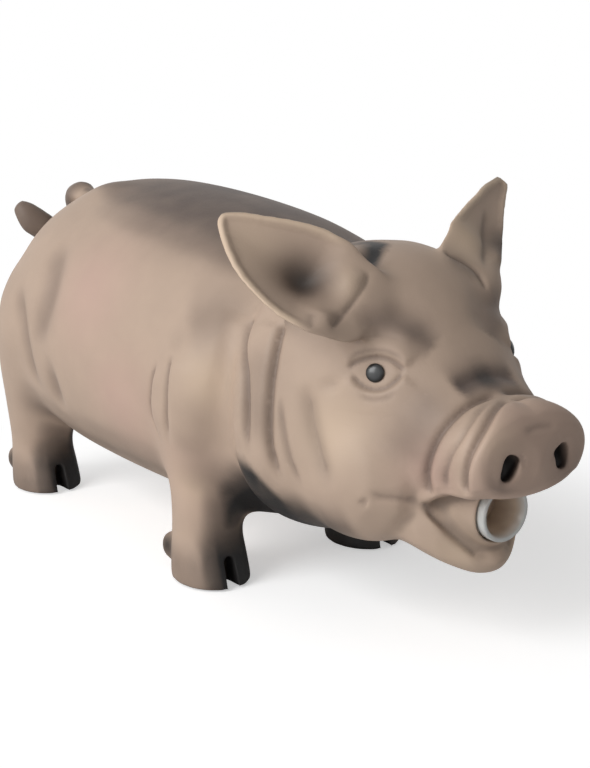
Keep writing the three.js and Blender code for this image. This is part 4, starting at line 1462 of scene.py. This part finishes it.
# %% [markdown]
# ## Studio
# The photograph has a plain white background. The floor is near-white, keeps the toy's soft shadow, and
# fades to pure white for the camera a little way off. For the camera it also glows a little, which keeps the
# shadow pale. The world is white to the camera and in reflections, and lights the toy more from the camera's
# left than from its right. A large soft lamp stands at the camera's left too.

# %% Floor
FLOOR_HALF = 3
FLOOR_COLOUR = (0.86, 0.86, 0.86, 1)
WHITE = (1, 1, 1, 1)
FADE = (0.07, 0.17)
FLOOR_LIFT = 0.47
bm = bmesh.new()
bmesh.ops.create_grid(bm, size=FLOOR_HALF)
floor = made("floor", mesh_of(bm, "floor"))
paper, tree, shader = material("white paper", Base_Color=FLOOR_COLOUR, Roughness=0.9)
apart = vector_math(tree, "DISTANCE", (place_on(tree), (CAMERA_TARGET.x, 0, 0)), "Value")
fade = spread(tree, apart, *FADE, rise="SMOOTHSTEP")
seen = Wire.add(tree, "ShaderNodeLightPath", {}, {}, "Is Camera Ray")
white = Wire.add(tree, "ShaderNodeEmission", {}, {"Color": WHITE, "Strength": 1}, "Emission")
lift = Wire.add(tree, "ShaderNodeEmission", {}, {"Strength": FLOOR_LIFT}, "Emission")
plain = Wire(tree, shader.outputs["BSDF"])
lifted = Wire.add(tree, "ShaderNodeAddShader", {}, {0: plain, 1: lift}, "Shader")
lit = Wire.add(tree, "ShaderNodeMixShader", {}, {0: seen, 1: plain, 2: lifted}, "Shader")
both = Wire.add(tree, "ShaderNodeMixShader", {}, {0: fade * seen, 1: lit, 2: white}, "Shader")
Wire.feed(tree, tree.nodes["Material Output"].inputs["Surface"], both)
floor.data.materials.append(paper)
print("floor:", len(tree.nodes), "nodes")

# %% World and lamp
WORLD_LEFT = 0.44
WORLD_RIGHT = 0.16
KEY_PLACE = Vector((0.05, -0.95, 0.6))
KEY_SIZE = 0.7
KEY_POWER = 9.5


def glow(tree, strength):
    """A white background of this strength."""
    return Wire.add(tree, "ShaderNodeBackground", {}, {"Color": WHITE, "Strength": strength}, "Background")


world = bpy.data.worlds.new("world")
world.use_nodes = True
tree = world.node_tree
path = tree.nodes.new("ShaderNodeLightPath")
camera_ray = Wire(tree, path.outputs["Is Camera Ray"])
glossy_ray = Wire(tree, path.outputs["Is Glossy Ray"])
clear_ray = Wire(tree, path.outputs["Is Transmission Ray"])
direct = camera_ray.math("MAXIMUM", camera_ray, clear_ray)
direct = direct.math("MAXIMUM", direct, glossy_ray)
leftward = -(camera_turn @ Vector((1, 0, 0)))
way = Wire.add(tree, "ShaderNodeTexCoord", {}, {}, "Generated")
side = vector_math(tree, "DOT_PRODUCT", (way, leftward), "Value")
sides = {0: 0.5 + 0.5 * side, 1: glow(tree, WORLD_RIGHT), 2: glow(tree, WORLD_LEFT)}
dim = Wire.add(tree, "ShaderNodeMixShader", {}, sides, "Shader")
sky = Wire.add(tree, "ShaderNodeMixShader", {}, {0: direct, 1: dim, 2: glow(tree, 1)}, "Shader")
Wire.feed(tree, tree.nodes["World Output"].inputs["Surface"], sky)
bpy.context.scene.world = world

lamp = bpy.data.lights.new("key", "AREA")
lamp.size = KEY_SIZE
lamp.energy = KEY_POWER
key = bpy.data.objects.new("key", lamp)
key_turn = (KEY_PLACE - CAMERA_TARGET).to_track_quat("Z", "Y")
key.matrix_world = Matrix.Translation(KEY_PLACE) @ key_turn.to_matrix().to_4x4()
bpy.context.scene.collection.objects.link(key)
bpy.context.scene.view_settings.view_transform = "Standard"
print("studio lit")
